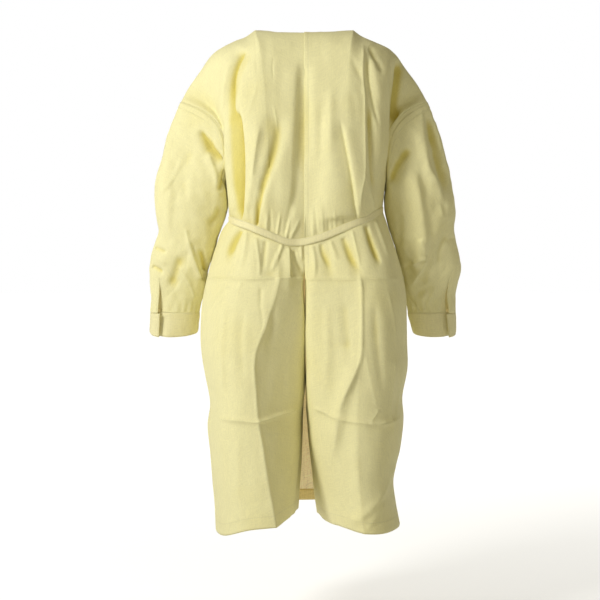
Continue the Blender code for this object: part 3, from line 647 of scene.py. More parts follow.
def turned_edge(name, points, finish, width, edge):
    """The cloth turned in along the top or bottom edge, lying flat inside the shell."""
    points, normals, reached = edge_first(points, edge)
    inner = points - normals * (CLOTH_THICK + TURNED_CLEAR)
    widths = np.linspace(TURNED_THICK, width, TURNED_ROWS)[:, None]
    strip = read_columns(inner, reached, np.tile(widths, points.shape[1]))
    if edge == "bottom":
        strip = strip[::-1]
    return cloth_shell(name, strip, (finish,), thick=TURNED_THICK)


THREAD_LIGHT = (0.90, 0.85, 0.58)
STITCH_LENGTH = 0.0024
STITCH_PITCH = 0.0032
STITCH_HALF = 0.00032
STITCH_RING = ((0, 1), (1, 0), (0, -0.6), (-1, 0))
STITCH_STAND = 0.35
STITCH_END_SINK = 0.5


def sewing_thread():
    """Spun polyester thread, a little paler and glossier than the cloth, with its twist."""
    finish, tree, shader = new_finish("sewing_thread")
    place = node(tree, "TexCoord").outputs["Object"]
    wave = {"Vector": place, "Scale": 900.0, "Distortion": 2.0}
    twist = node(tree, "TexWave", wave).outputs["Fac"]
    tone = ranged(tree, twist, 0.0, 1.0, 0.86, 1.04, "LINEAR")
    shade = node(tree, "VectorMath", {0: THREAD_LIGHT, "Scale": tone}, operation="SCALE")
    bump = node(tree, "Bump", {"Height": twist, "Strength": 0.3, "Distance": 0.0001})
    feed(tree, shader, {
        "Base Color": shade.outputs[0], "Normal": bump.outputs[0], "Roughness": 0.55,
    })
    return finish


def stitch_rows(name, lines, finish):
    """One piece with rows of stitches. Each line is points on the cloth and their normals."""
    corners, faces = [], []
    for points, normals in lines:
        reached = length_along(points)
        for start in np.arange(STITCH_PITCH / 2, reached[-1] - STITCH_LENGTH, STITCH_PITCH):
            at = start + np.array((0, STITCH_LENGTH / 2, STITCH_LENGTH))
            spots = np.array([np.interp(at, reached, axis) for axis in points.T]).T
            up = unit(np.array([np.interp(start, reached, axis) for axis in normals.T]))
            aside = np.cross(up, unit(spots[2] - spots[0]))
            first = len(corners)
            for end in (spots[0], spots[2]):
                corners.append(end - up * STITCH_HALF * STITCH_END_SINK)
            for over, high in STITCH_RING:
                corners.append(spots[1] + (aside * over + up * (high + STITCH_STAND)) * STITCH_HALF)
            for k in range(4):
                a, b = first + 2 + k, first + 2 + (k + 1) % 4
                faces += [(first, b, a), (first + 1, a, b)]
    return new_piece(name, corners, faces, (finish,))


def line_in(points, edge, distance, part=slice(None)):
    """A line on a grid a set distance in from an edge, with its normals, for stitches."""
    points, normals, reached = (grid[:, part] for grid in edge_first(points, edge))
    at = np.full((1, points.shape[1]), distance)
    return read_columns(points, reached, at)[0], read_columns(normals, reached, at)[0]


gown_cloth = woven_cloth("gown_cloth", CLOTH_LIGHT, CLOTH_TROUGH_SHADE)
# The inside face glows a little, a painted glow in place of light let through the thin cloth.
gown_lining = woven_cloth(
    "gown_cloth_inside", LINING_LIT_BEIGE, LINING_TROUGH_SHADE, speckle=0.22, shade_share=0.2,
    painted_glow=0.10,
)
turned_cloth = woven_cloth("gown_cloth_turned", TURNED_LIGHT, TURNED_TROUGH_SHADE, speckle=0.16)
thread = sewing_thread()

ARM_ROWS = 70
TOP_ROWS = 40
# Share down the skirt, reach, and how much closer the rows lie
PACK_LINES = (
    (0.165, 0.034, 2.2),
    (0.610, 0.036, 2.2),
)
FRONT_ROWS = (ARM_ROWS, 24, 96)
FRONT_COLUMNS = (44, 54)
SMALL_LUMPS = (0.0007, (0.022, 0.022, 0.05), 7.7)
FRONT_LUMPS = ((0.0016, (0.05, 0.05, 0.12), 3.1), SMALL_LUMPS)
UNDERARM_ROWS = 9


def body_rows(arm, waist, skirt):
    """Shares down the body: armhole, waist and skirt, with rows close together at the belt
    and where the two level pack lines run."""
    down = np.linspace(0, 1, 2001)
    close = 1 + 1.2 * np.exp(-down / 0.10)
    for line, reach, more in PACK_LINES:
        close += more * np.exp(-(((down - line) / reach) ** 4))
    reached = added_up((close[1:] + close[:-1]) / 2)
    skirt_down = np.interp(np.linspace(0, reached[-1], skirt + 1), reached, down)
    return np.concatenate([
        np.linspace(0, ARM_SHARE, arm + 1),
        np.linspace(ARM_SHARE, 1, waist + 1)[1:],
        1 + skirt_down[1:],
    ])


def body_columns(side, centre):
    return np.concatenate([np.linspace(0, 1, side + 1), np.linspace(1, 2, centre + 1)[1:]])


def finish_surface(points, lift, creases, across, down, lumps):
    """The grid with its finer creases and unevenness raised along its normals."""
    normals = outward(points)
    bunched = np.arange(ARM_ROWS - UNDERARM_ROWS, ARM_ROWS + 1)
    spread = ((points[bunched] - points[bunched[0]]) ** 2).sum(axis=2) ** 0.5
    spread = (spread / spread[-1])[..., None]
    normals[bunched] = blend(normals[bunched[0] - 1], normals[ARM_ROWS + 2], spread)
    normals = unit(normals)
    across, down = np.meshgrid(across, down)
    from_belt = np.abs(down - 1)
    fine = fine_creases(creases, points[..., 0], points[..., 2])
    fine *= ease(across / 0.10) * ease(down / 0.05) * ease(from_belt / 0.030)
    fine += unevenness(points, lumps) * ease(across / 0.25) * ease(from_belt / 0.05)
    return points + normals * fine[..., None], lift + fine


front_down = body_rows(*FRONT_ROWS)
front_across = body_columns(*FRONT_COLUMNS)
(left_points, left_lift), (right_points, right_lift) = (
    body_half(side, "front", FRONT, FRONT_FOLDS, front_across, front_down) for side in SIGN
)
both_across = np.concatenate([front_across, front_across[-2::-1]])
front_points, front_lift = finish_surface(
    np.concatenate([left_points, right_points[:, -2::-1]], axis=1),
    np.concatenate([left_lift, right_lift[:, -2::-1]], axis=1),
    FRONT_CREASES, both_across, front_down, FRONT_LUMPS,
)
below_arm = (front_down >= ARM_SHARE)[:, None]
front_sewn = sewn_lines(front_points, (
    ("bottom", HEM_STITCH, True),
    ("top", NECK_STITCH, both_across >= 1),
    ("top", SEAM_STITCH, both_across < 1),
    ("first", SEAM_STITCH, below_arm),
    ("last", SEAM_STITCH, below_arm),
))
front = cloth_shell(
    "front_panel", front_points, (gown_cloth, gown_lining), lift=front_lift, sewn=front_sewn,
)
front_hem = turned_edge("front_hem_turned", front_points, turned_cloth, HEM_DEPTH, "bottom")
neck_part = slice(FRONT_COLUMNS[0], -FRONT_COLUMNS[0])
neck_points = front_points[:TOP_ROWS, neck_part]
front_neck = turned_edge("front_neck_turned", neck_points, turned_cloth, NECK_TURN, "top")
front_stitches = stitch_rows("front_stitching", [
    line_in(front_points, "bottom", HEM_STITCH),
    line_in(front_points, "top", NECK_STITCH, neck_part),
    line_in(front_points, "first", SEAM_STITCH, slice(ARM_ROWS, None)),
    line_in(front_points, "last", SEAM_STITCH, slice(ARM_ROWS, None)),
], thread)
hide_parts("front")
for piece in (front, front_hem, front_neck, front_stitches):
    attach(piece, "root")

# Back halves: two mirror cuts of the same cloth, open down the centre. The half on the
# right laps over the left from the neck to below the belt. Each hangs from its shoulder
# and side seams, with a turned and stitched neck, centre edge and hem.

CENTRE_STITCH = 0.010
BACK_ROWS = (ARM_ROWS, 28, 184)
BACK_COLUMNS = (92, 80)
BACK_LUMPS = ((0.0016, (0.045, 0.045, 0.10), 3.1), SMALL_LUMPS)
# How deep the left half lies under the right, and where across and down this grows
LAP_SINK = 0.0020
TUCK_ACROSS = 1.3, 1.6
TUCK_DOWN = 1.30, 1.18

# Down is 0 at the top edge, 1 at the belt and 2 at the hem
BACK_HALVES = {
    "left": (
        ("down", "ridge_out", "ridge_back", "lip_out", "lip_back", "edge_out", "edge_back"),
        (0.00, 0.090, 0.120, 0.045, 0.121, 0.000, 0.118),
        (0.40, 0.090, 0.146, 0.045, 0.141, 0.000, 0.130),
        (0.85, 0.085, 0.146, 0.045, 0.143, 0.000, 0.132),
        (1.00, 0.072, 0.136, 0.040, 0.136, 0.000, 0.128),
        (1.155, 0.060, 0.174, 0.004, 0.150, -0.001, 0.130),
        (1.29, 0.085, 0.185, -0.0050, 0.135, -0.0025, 0.080),
        (1.41, 0.1147, 0.190, -0.0060, 0.120, -0.0025, 0.045),
        (1.54, 0.1124, 0.190, -0.0040, 0.110, 0.000, -0.020),
        (1.63, 0.1077, 0.190, 0.0045, 0.106, 0.002, -0.066),
        (1.73, 0.0960, 0.190, 0.008, 0.106, 0.003, -0.082),
        (1.86, 0.0820, 0.190, 0.018, 0.106, 0.007, -0.100),
        (2.00, 0.0644, 0.190, 0.030, 0.104, 0.013, -0.117),
    ),
    "right": (
        ("down", "ridge_out", "ridge_back", "lip_out", "lip_back", "edge_out", "edge_back"),
        (0.00, 0.090, 0.120, 0.045, 0.121, 0.000, 0.118),
        (0.40, 0.095, 0.146, 0.045, 0.144, 0.000, 0.134),
        (0.85, 0.095, 0.146, 0.045, 0.145, 0.000, 0.136),
        (1.00, 0.100, 0.136, 0.040, 0.138, 0.000, 0.132),
        (1.155, 0.128, 0.166, 0.008, 0.158, 0.002, 0.133),
        (1.29, 0.136, 0.182, 0.0014, 0.160, 0.0045, 0.080),
        (1.41, 0.134, 0.188, 0.0020, 0.158, 0.0048, 0.045),
        (1.54, 0.126, 0.190, 0.0035, 0.152, 0.0055, -0.020),
        (1.63, 0.124, 0.190, 0.009, 0.146, 0.007, -0.066),
        (1.73, 0.125, 0.190, 0.018, 0.138, 0.012, -0.082),
        (1.86, 0.130, 0.190, 0.040, 0.124, 0.021, -0.100),
        (2.00, 0.140, 0.190, 0.062, 0.104, 0.034, -0.117),
    ),
}
# Folds and creases have the same columns as the front's
BACK_FOLDS = (
    (-128, -55, -182, -215, -6, -4.5, 16),
    (-184, -180, -152, -475, 6, -5.1, 16),
    (0, -110, -31, -434, -10, -3.9, 20),
    (-67, -200, -118, -400, 4, -3, 17),
    (76, -250, 128, -478, 0, -3.9, 18),
    (133, -90, 148, -280, 0, -3, 14),
    (206, -90, 200, -260, -4, -3.6, 14),
    (40, -420, 28, -530, 0, 3.2, 14),
    (-20, -440, -30, -536, 0, 2.8, 13),
    (-100, -400, -82, -520, 0, 3.2, 14),
    (-36, -536, -36, -660, 0, 4.4, 12),
    (-51, -530, -90, -640, 0, -4, 13),
    (42, -522, 68, -640, 0, -4.4, 14),
    (93, -505, 133, -640, 0, -4, 14),
    (148, -485, 186, -620, 0, -4, 14),
    (-157, -485, -192, -610, 0, -4, 14),
    (-115, -500, -128, -640, 0, 3.2, 14),
    (131, -790, 66, -1070, 14, 10, 16),
)
BACK_LEFT_CREASES = (
    (-1, 2.5, 2.5, 1, 1, 0.1, 0.3, -121, -36, -116, -69, -113, -145),
    (-14, 11.5, 4, 1.2, 1, 0.15, 0.2, -135, -67, -153, -91, -164, -120, -171, -153, -174, -201,
     -168, -254),
    (7, 15, 7.5, 1, 0, 0.2, 0.3, -160, -70, -181, -109, -192, -152, -197, -198, -193, -260),
    (3, 7.5, 15, 1, 0, 0.2, 0.3, -122, -89, -144, -135, -154, -183, -154, -232),
    (-22, 25, 5.5, 0.35, 1, 0.12, 0.12, -165, -212, -157, -251, -152, -295, -149, -338, -149,
     -399, -152, -480),
    (-7, 4, 2.5, 0.8, 1, 0.4, 0.02, -156, -347, -155, -399, -155, -442, -154, -480),
    (4.4, 12.5, 12.5, 0.6, 0, 0.25, 0.1, -105, -234, -116, -305, -125, -387, -138, -466),
    (9, 10, 10, 0.7, 0, 0.2, 0.1, -189, -204, -188, -284, -184, -357, -178, -420, -174, -473),
    (-10, 20, 20, 0.16, 0, 0.25, 0.03, -55, -205, -60, -267, -68, -311, -82, -354, -98, -401,
     -110, -453, -115, -498),
    (-3.5, 3, 2.5, 0.8, 1, 0.3, 0.02, -112, -420, -115, -463, -117, -498),
    (2.4, 6.3, 3, 0.8, 1, 0.3, 0.2, -100, -244, -111, -291, -118, -339, -122, -391),
    (1.6, 3, 2.3, 1, 1, 0.2, 0.2, -110, -153, -124, -200, -140, -245),
    (-1.6, 2.5, 2.5, 1, 1, 0.2, 0.3, -154, -213, -161, -253),
    (-1.4, 2.3, 2.3, 1, 1, 0.2, 0.2, -72, -89, -76, -118, -72, -145),
    (1.4, 2.5, 2.5, 1, 1, 0.2, 0.3, -72, -210, -61, -272),
    (1.2, 2.3, 2.3, 1, 1, 0.2, 0.3, -141, -214, -151, -247),
    (-3.5, 11.2, 15, 1, 0, 0.2, 0.4, -5, -88, -5, -156, -6, -218, -8, -289, -10, -347, -14,
     -396),
    (-2.5, 10, 12.5, 0.5, 0, 0.3, 0.05, -15, -366, -28, -441, -42, -496, -47, -520),
    (6.5, 32.5, 15, 0.9, 0, 0.15, 0.15, -22, -88, -31, -257, -35, -334, -37, -410, -41, -468),
    (-2.5, 5, 5, 0.8, 0, 0.4, 0.03, -81, -449, -80, -512),
    (3, 4, 4, 1, 0, 0.5, 0.03, -86, -459, -91, -512),
    (3.2, 3.5, 3.5, 1, 0, 0.5, 0.03, -55, -456, -65, -520),
    (3, 3, 3, 1, 0, 0.5, 0.03, -31, -470, -45, -529),
    (3.4, 3, 3, 1, 0, 0.5, 0.03, -5, -472, -22, -503, -35, -529),
    (2.6, 4, 4, 1, 0, 0.5, 0.03, -137, -433, -135, -495),
    (5, 5, 5, 1, 0, 0.05, 0.4, -51, -539, -69, -584, -83, -615),
    (5.5, 7, 2, 1, 1, 0.05, 0.2, -37, -546, -36, -587, -35, -625),
    (-5, 5, 4, 1, 0, 0.1, 0.3, -25, -553, -17, -582, 0, -610),
    (4, 4, 4, 1, 0, 0.05, 0.4, -8, -543, -5, -582),
    (4, 3.3, 3, 1, 1, 0.05, 0.2, -115, -524, -107, -573, -105, -595, -108, -620),
    (-8, 7.5, 7.5, 1.6, 0, 0.03, 0.4, -152, -502, -171, -536, -189, -577),
    (3.5, 5, 5, 1.5, 0, 0.05, 0.4, -137, -507, -143, -563, -157, -615),
    (-4, 5, 5, 1.5, 0, 0.05, 0.4, -91, -529, -95, -572, -100, -615),
    (-2.4, 3, 2, 1, 1, 0.2, 0.2, -101, -641, -101, -683),
    (2, 3, 3, 1, 1, 0.2, 0.4, -145, -627, -166, -672),
    (-4, 10, 10, 1, 0, 0.3, 0.4, -78, -672, -76, -742, -95, -803),
    (2.4, 6, 6, 1, 0, 0.3, 0.3, -185, -672, -194, -790, -190, -908),
    (2.6, 5.5, 3, 1, 1, 0.05, 0.05, -59, -622, -85, -721, -115, -800, -113, -887, -108, -950,
     -97, -1016, -83, -1109, -65, -1201),
    (-2.4, 3, 3, 1, 1, 0.2, 0.4, -102, -625, -104, -672, -99, -723, -104, -777),
    (2.4, 4, 3, 1, 1, 0.1, 0.3, -181, -629, -211, -672, -236, -716),
    (-3, 12.5, 10, 1, 0, 0.3, 0.3, -137, -672, -151, -765, -141, -882),
    (-2.6, 10, 10, 1, 0, 0.2, 0.3, -190, -979, -180, -1074, -197, -1200),
    (1.6, 8, 8, 1, 0, 0.3, 0.3, -151, -977, -156, -1095, -151, -1190),
    (5, 4, 3, 1, 1, 0.2, 0.1, -243, -622, -171, -623, -100, -622, -62, -620),
    (7.5, 6, 2.5, 1, 1, 0.1, 0.05, -67, -621, -34, -621, -3, -621),
    (7, 5.5, 4, 1, 1, 0.25, 0.1, -225, -954, -146, -955, -108, -957, -61, -945, -11, -934),
)
BACK_RIGHT_CREASES = (
    (-5, 12.5, 22.5, 1, 0, 0.12, 0.25, -3, -98, -3, -218, -4, -290, -9, -374),
    (3, 12.5, 15, 1, 0, 0.2, 0.3, 16, -93, 21, -194, 19, -315),
    (-2.4, 8.8, 8.8, 1, 0, 0.3, 0.3, 40, -190, 41, -267, 35, -351),
    (4, 10, 12.5, 1, 0, 0.3, 0.3, 62, -162, 64, -244, 61, -320),
    (8, 20, 35, 1.2, 0, 0.25, 0.03, 52, -215, 59, -267, 66, -315, 74, -387, 84, -479),
    (5, 6.5, 22.5, 1, 0, 0.2, 0.03, 92, -239, 101, -272, 110, -320, 121, -389, 132, -479),
    (-6, 5.5, 3, 0.8, 1, 0.2, 0.03, 83, -239, 91, -272, 101, -319, 113, -389, 125, -479),
    (3.5, 15, 15, 1.2, 0, 0.3, 0.1, 42, -346, 52, -411, 61, -491),
    (4.6, 6.3, 3, 1, 1, 0.1, 0.1, 143, -46, 141, -131, 145, -189, 145, -279, 144, -367, 134,
     -424, 132, -467),
    (-7.5, 6, 10, 1, 0, 0.25, 0.2, 156, -194, 158, -278, 161, -350, 170, -428),
    (3, 7.5, 2.5, 1, 1, 0.1, 0.05, 145, -372, 157, -412, 171, -454),
    (-6, 7.5, 3.3, 0.6, 1, 0.15, 0.15, 152, -82, 154, -124, 159, -162, 166, -198, 173, -227,
     179, -255),
    (4, 6.3, 12.5, 1, 0, 0.2, 0.3, 161, -81, 169, -133, 176, -174, 185, -220),
    (-6, 4.5, 7.5, 1, 0, 0.2, 0.25, 156, -57, 166, -81, 177, -108, 186, -132),
    (2, 3.3, 2.5, 1, 1, 0.2, 0.2, 121, -135, 134, -156, 146, -179),
    (-2.5, 7.5, 5, 1, 0, 0.3, 0.3, 109, -92, 124, -113, 136, -141),
    (-2.5, 12.5, 10, 1, 0, 0.3, 0.3, 112, -167, 121, -220, 126, -256),
    (-17, 12.5, 7.5, 0.7, 0, 0.12, 0.2, 242, -76, 235, -130, 229, -180, 225, -233, 214, -308,
     204, -384),
    (10, 25, 6.5, 0.8, 0, 0.15, 0.25, 204, -80, 198, -154, 197, -250, 193, -334, 189, -392),
    (3, 3, 3, 1, 0, 0.5, 0.03, 1, -463, -1, -529),
    (-1.6, 4, 3.3, 1, 0, 0.4, 0.03, 26, -444, 32, -520),
    (1.6, 4, 3.5, 1, 0, 0.5, 0.03, 19, -446, 22, -524),
    (1.8, 4, 4, 1, 0, 0.5, 0.03, 41, -439, 45, -520),
    (-1.4, 3.5, 3.5, 1, 0, 0.5, 0.03, 57, -463, 59, -515),
    (1.6, 4, 4, 1, 0, 0.5, 0.03, 71, -446, 76, -510),
    (-1.2, 3, 3, 1, 0, 0.5, 0.03, 92, -458, 97, -501),
    (4, 6, 5, 1, 0, 0.05, 0.4, 19, -541, 26, -587, 23, -629),
    (-4.2, 5, 7, 1, 0, 0.05, 0.4, 41, -536, 44, -560, 64, -603),
    (3.5, 5, 5, 1.5, 0, 0.05, 0.4, 62, -532, 80, -582),
    (-4.6, 7, 6, 1, 0, 0.05, 0.35, 93, -522, 109, -568, 130, -606),
    (3.5, 3, 3, 1, 1, 0.05, 0.3, 114, -505, 125, -553, 134, -601),
    (-7, 7, 5, 1, 0, 0.05, 0.3, 148, -491, 162, -539, 183, -591),
    (3, 4, 4, 1.5, 0, 0.05, 0.4, 171, -480, 194, -543, 210, -596),
    (6, 6, 3.5, 1, 1, 0.1, 0.1, 130, -601, 134, -627, 136, -672, 135, -754, 131, -812, 93, -901,
     79, -946),
    (3, 5, 5, 1, 1, 0.1, 0.5, 79, -946, 72, -1009, 63, -1080),
    (1.8, 6, 10, 1, 1, 0.1, 0.2, 138, -775, 154, -854, 173, -935),
    (3.4, 6, 8, 1, 1, 0.1, 0.25, 218, -805, 206, -916, 206, -954, 216, -1023),
    (2.4, 8, 4, 1, 1, 0.1, 0.1, 176, -929, 155, -961),
    (6, 10, 10, 1, 1, 0.1, 0.1, 215, -1065, 181, -1135, 108, -1203),
    (3, 6, 6, 1, 1, 0.15, 0.1, 191, -1153, 147, -1207),
    (-3, 12.5, 12.5, 1, 0, 0.3, 0.3, 42, -771, 80, -780, 117, -779),
    (2.6, 8, 8, 1, 0, 0.3, 0.3, 112, -1000, 121, -1093, 112, -1161),
    (-4, 12.5, 12.5, 1, 0, 0.2, 0.3, 94, -672, 98, -742, 112, -812),
    (-4, 12.5, 10, 1, 0, 0.2, 0.3, 164, -672, 173, -789, 188, -907),
    (3, 10, 10, 1, 0, 0.2, 0.3, 51, -672, 56, -790, 47, -909),
    (2.2, 3, 3, 1, 1, 0.2, 0.2, 198, -648, 213, -719, 223, -791),
    (2.4, 3.5, 3, 1, 1, 0.2, 0.2, 240, -807, 225, -912, 208, -1004),
    (4.2, 4, 3, 1, 1, 0.05, 0.2, 4, -623, 85, -625, 160, -622, 246, -622),
    (7, 5.5, 4, 1, 1, 0.1, 0.25, 17, -925, 52, -938, 79, -950, 155, -962, 208, -961, 241, -952),
)

back_down = body_rows(*BACK_ROWS)
back_across = body_columns(*BACK_COLUMNS)
back_grids = {}
for side, creases in (("left", BACK_LEFT_CREASES), ("right", BACK_RIGHT_CREASES)):
    points, lift = body_half(
        side, "back", BACK_HALVES[side], BACK_FOLDS, back_across, back_down,
    )
    along, centre, seam = back_across, "last", "first"
    neck_part, shoulder_part = slice(BACK_COLUMNS[0], None), slice(0, BACK_COLUMNS[0] + 1)
    if side == "left":
        points, lift, along = points[:, ::-1], lift[:, ::-1], back_across[::-1]
        centre, seam = "first", "last"
        neck_part, shoulder_part = slice(0, BACK_COLUMNS[1] + 1), slice(BACK_COLUMNS[1], None)
        tuck = ease_between(along, *TUCK_ACROSS) * ease_between(back_down[:, None], *TUCK_DOWN)
        points = points - outward(points) * (LAP_SINK * tuck)[..., None]
    points, lift = finish_surface(points, lift, creases, along, back_down, BACK_LUMPS)
    sewn = sewn_lines(points, (
        ("bottom", HEM_STITCH, True),
        ("top", NECK_STITCH, along >= 1),
        ("top", SEAM_STITCH, along < 1),
        (centre, CENTRE_STITCH, True),
        (seam, SEAM_STITCH, (back_down >= ARM_SHARE)[:, None]),
    ))
    name = "back_panel_" + side
    panel = cloth_shell(name, points, (gown_cloth, gown_lining), lift=lift, sewn=sewn)
    hem = turned_edge(f"back_hem_turned_{side}", points, turned_cloth, HEM_DEPTH, "bottom")
    neck_points = points[:TOP_ROWS, neck_part]
    neck = turned_edge(f"back_neck_turned_{side}", neck_points, turned_cloth, NECK_TURN, "top")
    stitches = stitch_rows(f"back_stitching_{side}", [
        line_in(points, "bottom", HEM_STITCH),
        line_in(points, "top", NECK_STITCH, neck_part),
        line_in(points, "top", SEAM_STITCH, shoulder_part),
        line_in(points, centre, CENTRE_STITCH),
        line_in(points, seam, SEAM_STITCH, slice(ARM_ROWS, None)),
    ], thread)
    back_grids[side] = points
    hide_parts("back_" + side)
    for piece in (panel, hem, neck, stitches):
        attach(piece, "root")

# Sleeves: one cut each, set into the dropped armhole under a stitched band, tapering to
# the wrist, where the cloth is slit and the back edge stands proud of the strip under it.

CUFF_SEAM_DROP = 0.7075
CUFF_SLANT = 0.2
SLEEVE_DEPTH_TOP = 0.066
SLEEVE_DEPTH_CUFF = 0.036
FOREARM_FORWARD = 0.072
SLIT_LENGTH_SHARE = 0.18
SLIT_START = 1 - SLIT_LENGTH_SHARE
SLIT_ANGLE = 2 * math.pi * 0.15
TAB_LIFT = 0.008
UNDERLAP_SINK = 0.0042
SLEEVE_ROWS = 190
RING_COLUMNS = 2 * ARM_ROWS
FRONT_CREASE_DROP = 0.018
GATHER_HEIGHT = 0.0008
SLEEVE_LUMPS = ((0.0028, (0.040, 0.040, 0.055), 5.3), (0.0016, (0.018, 0.018, 0.026), 9.1))
BAND_WIDTH = 0.017
BAND_START = {"left": 0.004, "right": 0.012}
BAND_STITCH = 0.0022
STRIP_STITCH = 0.002
STRIP_SINK = 0.0026
STRIP_THICK = 0.0012

SLEEVE_OUTLINE = (
    ("drop", "left_out", "right_out", "left_in", "right_in"),
    (0.18, 0.3075, 0.3075, 0.180, 0.190),
    (0.25, 0.3360, 0.3350, 0.185, 0.195),
    (0.32, 0.3570, 0.3550, 0.190, 0.200),
    (0.385, 0.3725, 0.3700, 0.1935, 0.203),
    (0.45, 0.3715, 0.3785, 0.1910, 0.2015),
    (0.50, 0.3640, 0.3765, 0.2080, 0.2130),
    (0.55, 0.3825, 0.3890, 0.2240, 0.2300),
    (0.60, 0.3910, 0.3975, 0.2395, 0.2450),
    (0.65, 0.3900, 0.3860, 0.2515, 0.2555),
    (0.71, 0.3920, 0.3875, 0.2665, 0.2655),
    (0.77, 0.3960, 0.3920, 0.273, 0.2800),
)
# How far across and how high above the sleeve the band's section runs
BAND_SECTION = np.array((
    (0.0, 0.06, 0.14, 0.30, 0.5, 0.70, 0.86, 0.94, 1.0),
    (0.0001, 0.0008, 0.0012, 0.0013, 0.0013, 0.0013, 0.0012, 0.0008, 0.0001),
))[..., None]
# Folds and creases have the same columns as the front's. Those at the back of one sleeve,
# mirrored, also run down the front of the other.
SLEEVE_FOLDS = (
    (-250, -255, -195, -360, 0, -6, 16),
    (262, -290, 206, -405, 0, -4, 18),
    (272, -190, 340, -450, 6, 8, 20),
    (-330, -240, -350, -440, 4, 6, 20),
    (-284, -500, -250, -650, 0, 8, 13),
    (-282, -540, -338, -665, 4, -4.5, 12),
    (304, -500, 268, -650, 0, 7, 13),
)
SLEEVE_CREASES = (
    (4.6, 3.7, 2.8, 1, 1, 0.2, 0.2, -288, -297, -320, -369, -356, -420),
    (-12, 10, 5, 0.8, 1, 0.12, 0.2, -256, -253, -229, -295, -211, -316, -190, -338),
    (5, 8, 6, 1, 0, 0.2, 0.3, -238, -306, -216, -370, -207, -428),
    (-6, 6, 6, 1, 0, 0.1, 0.3, -378, -542, -359, -550, -340, -559),
    (-6, 6, 6, 1, 0, 0.1, 0.3, -384, -590, -365, -600, -350, -608),
    (3, 8, 8, 1, 0, 0.2, 0.3, -375, -570, -339, -585),
    (6, 7.5, 3, 1, 1, 0.1, 0.05, -290, -497, -283, -529, -272, -566, -254, -623),
    (-2, 3, 3, 1, 1, 0.1, 0.2, -284, -546, -299, -603, -322, -640, -350, -675),
    (-5, 7.5, 7.5, 1, 0, 0.2, 0.3, -205, -442, -218, -472, -239, -492),
    (3, 10, 10, 1, 0, 0.3, 0.3, -325, -379, -335, -465, -329, -526),
    (6, 8.5, 3.5, 1, 1, 0.1, 0.15, 264, -140, 282, -179, 291, -213, 299, -285, 307, -345, 327,
     -382, 350, -442),
    (-9, 12.5, 20, 1, 0, 0.2, 0.3, 305, -203, 322, -278, 338, -358, 356, -432),
    (-6, 10, 9, 0.7, 0, 0.15, 0.25, 263, -298, 238, -330, 223, -355, 205, -393),
    (13, 22.5, 12.5, 1, 0, 0.2, 0.3, 265, -345, 282, -429, 293, -507, 300, -580),
    (3, 3, 3, 1, 1, 0.2, 0.2, 335, -438, 343, -470),
    (6, 4.5, 4, 1, 1, 0.2, 0.2, 287, -521, 301, -564),
    (8, 4.5, 4.5, 1, 1, 0.2, 0.2, 306, -564, 269, -587),
    (8, 4.7, 4.3, 1, 1, 0.1, 0.3, 304, -572, 286, -605, 272, -638),
    (-8, 6, 6, 1, 0, 0.25, 0.1, -255, -546, -248, -580, -241, -605),
    (-5, 4, 6, 1, 1, 0.1, 0.1, 253, -655, 273, -681, 302, -711),
    (-4, 8, 8, 1, 0, 0.2, 0.3, 357, -506, 337, -551, 334, -600),
    (3, 8, 8, 1, 0, 0.2, 0.3, 314, -600, 306, -650, 293, -691),
    (-3, 8, 8, 1, 0, 0.3, 0.3, 377, -515, 355, -536),
    (-5, 10, 7.5, 1, 0, 0.2, 0.3, 249, -580, 279, -615, 321, -640),
    (4, 7.5, 5, 1, 0, 0.2, 0.3, 243, -541, 273, -580, 299, -600),
    (-4.5, 7.5, 7.5, 1, 0, 0.2, 0.3, 277, -665, 301, -650, 325, -630),
    (3, 5, 4, 1, 1, 0.2, 0.3, 331, -640, 317, -670, 308, -701),
    (-3, 10, 7.5, 1, 0, 0.2, 0.3, 233, -453, 239, -502, 234, -555),
    (-9, 10, 6.5, 0.8, 0, 0.1, 0.3, -189, -354, -197, -381, -214, -414),
    (-4.5, 10, 10, 1, 0, 0.3, 0.3, -307, -551, -319, -600, -341, -650),
    (-8, 4, 12.5, 1, 1, 0.2, 0.05, -281, -526, -268, -566, -249, -628),
    (3, 6, 5, 1, 1, 0.2, 0.3, -318, -580, -286, -635, -273, -686),
    (-3, 12.5, 12.5, 1, 0, 0.3, 0.3, -281, -280, -295, -369, -285, -443),
)
# Place of a crease's first x in its row
PATH_START_X = 7


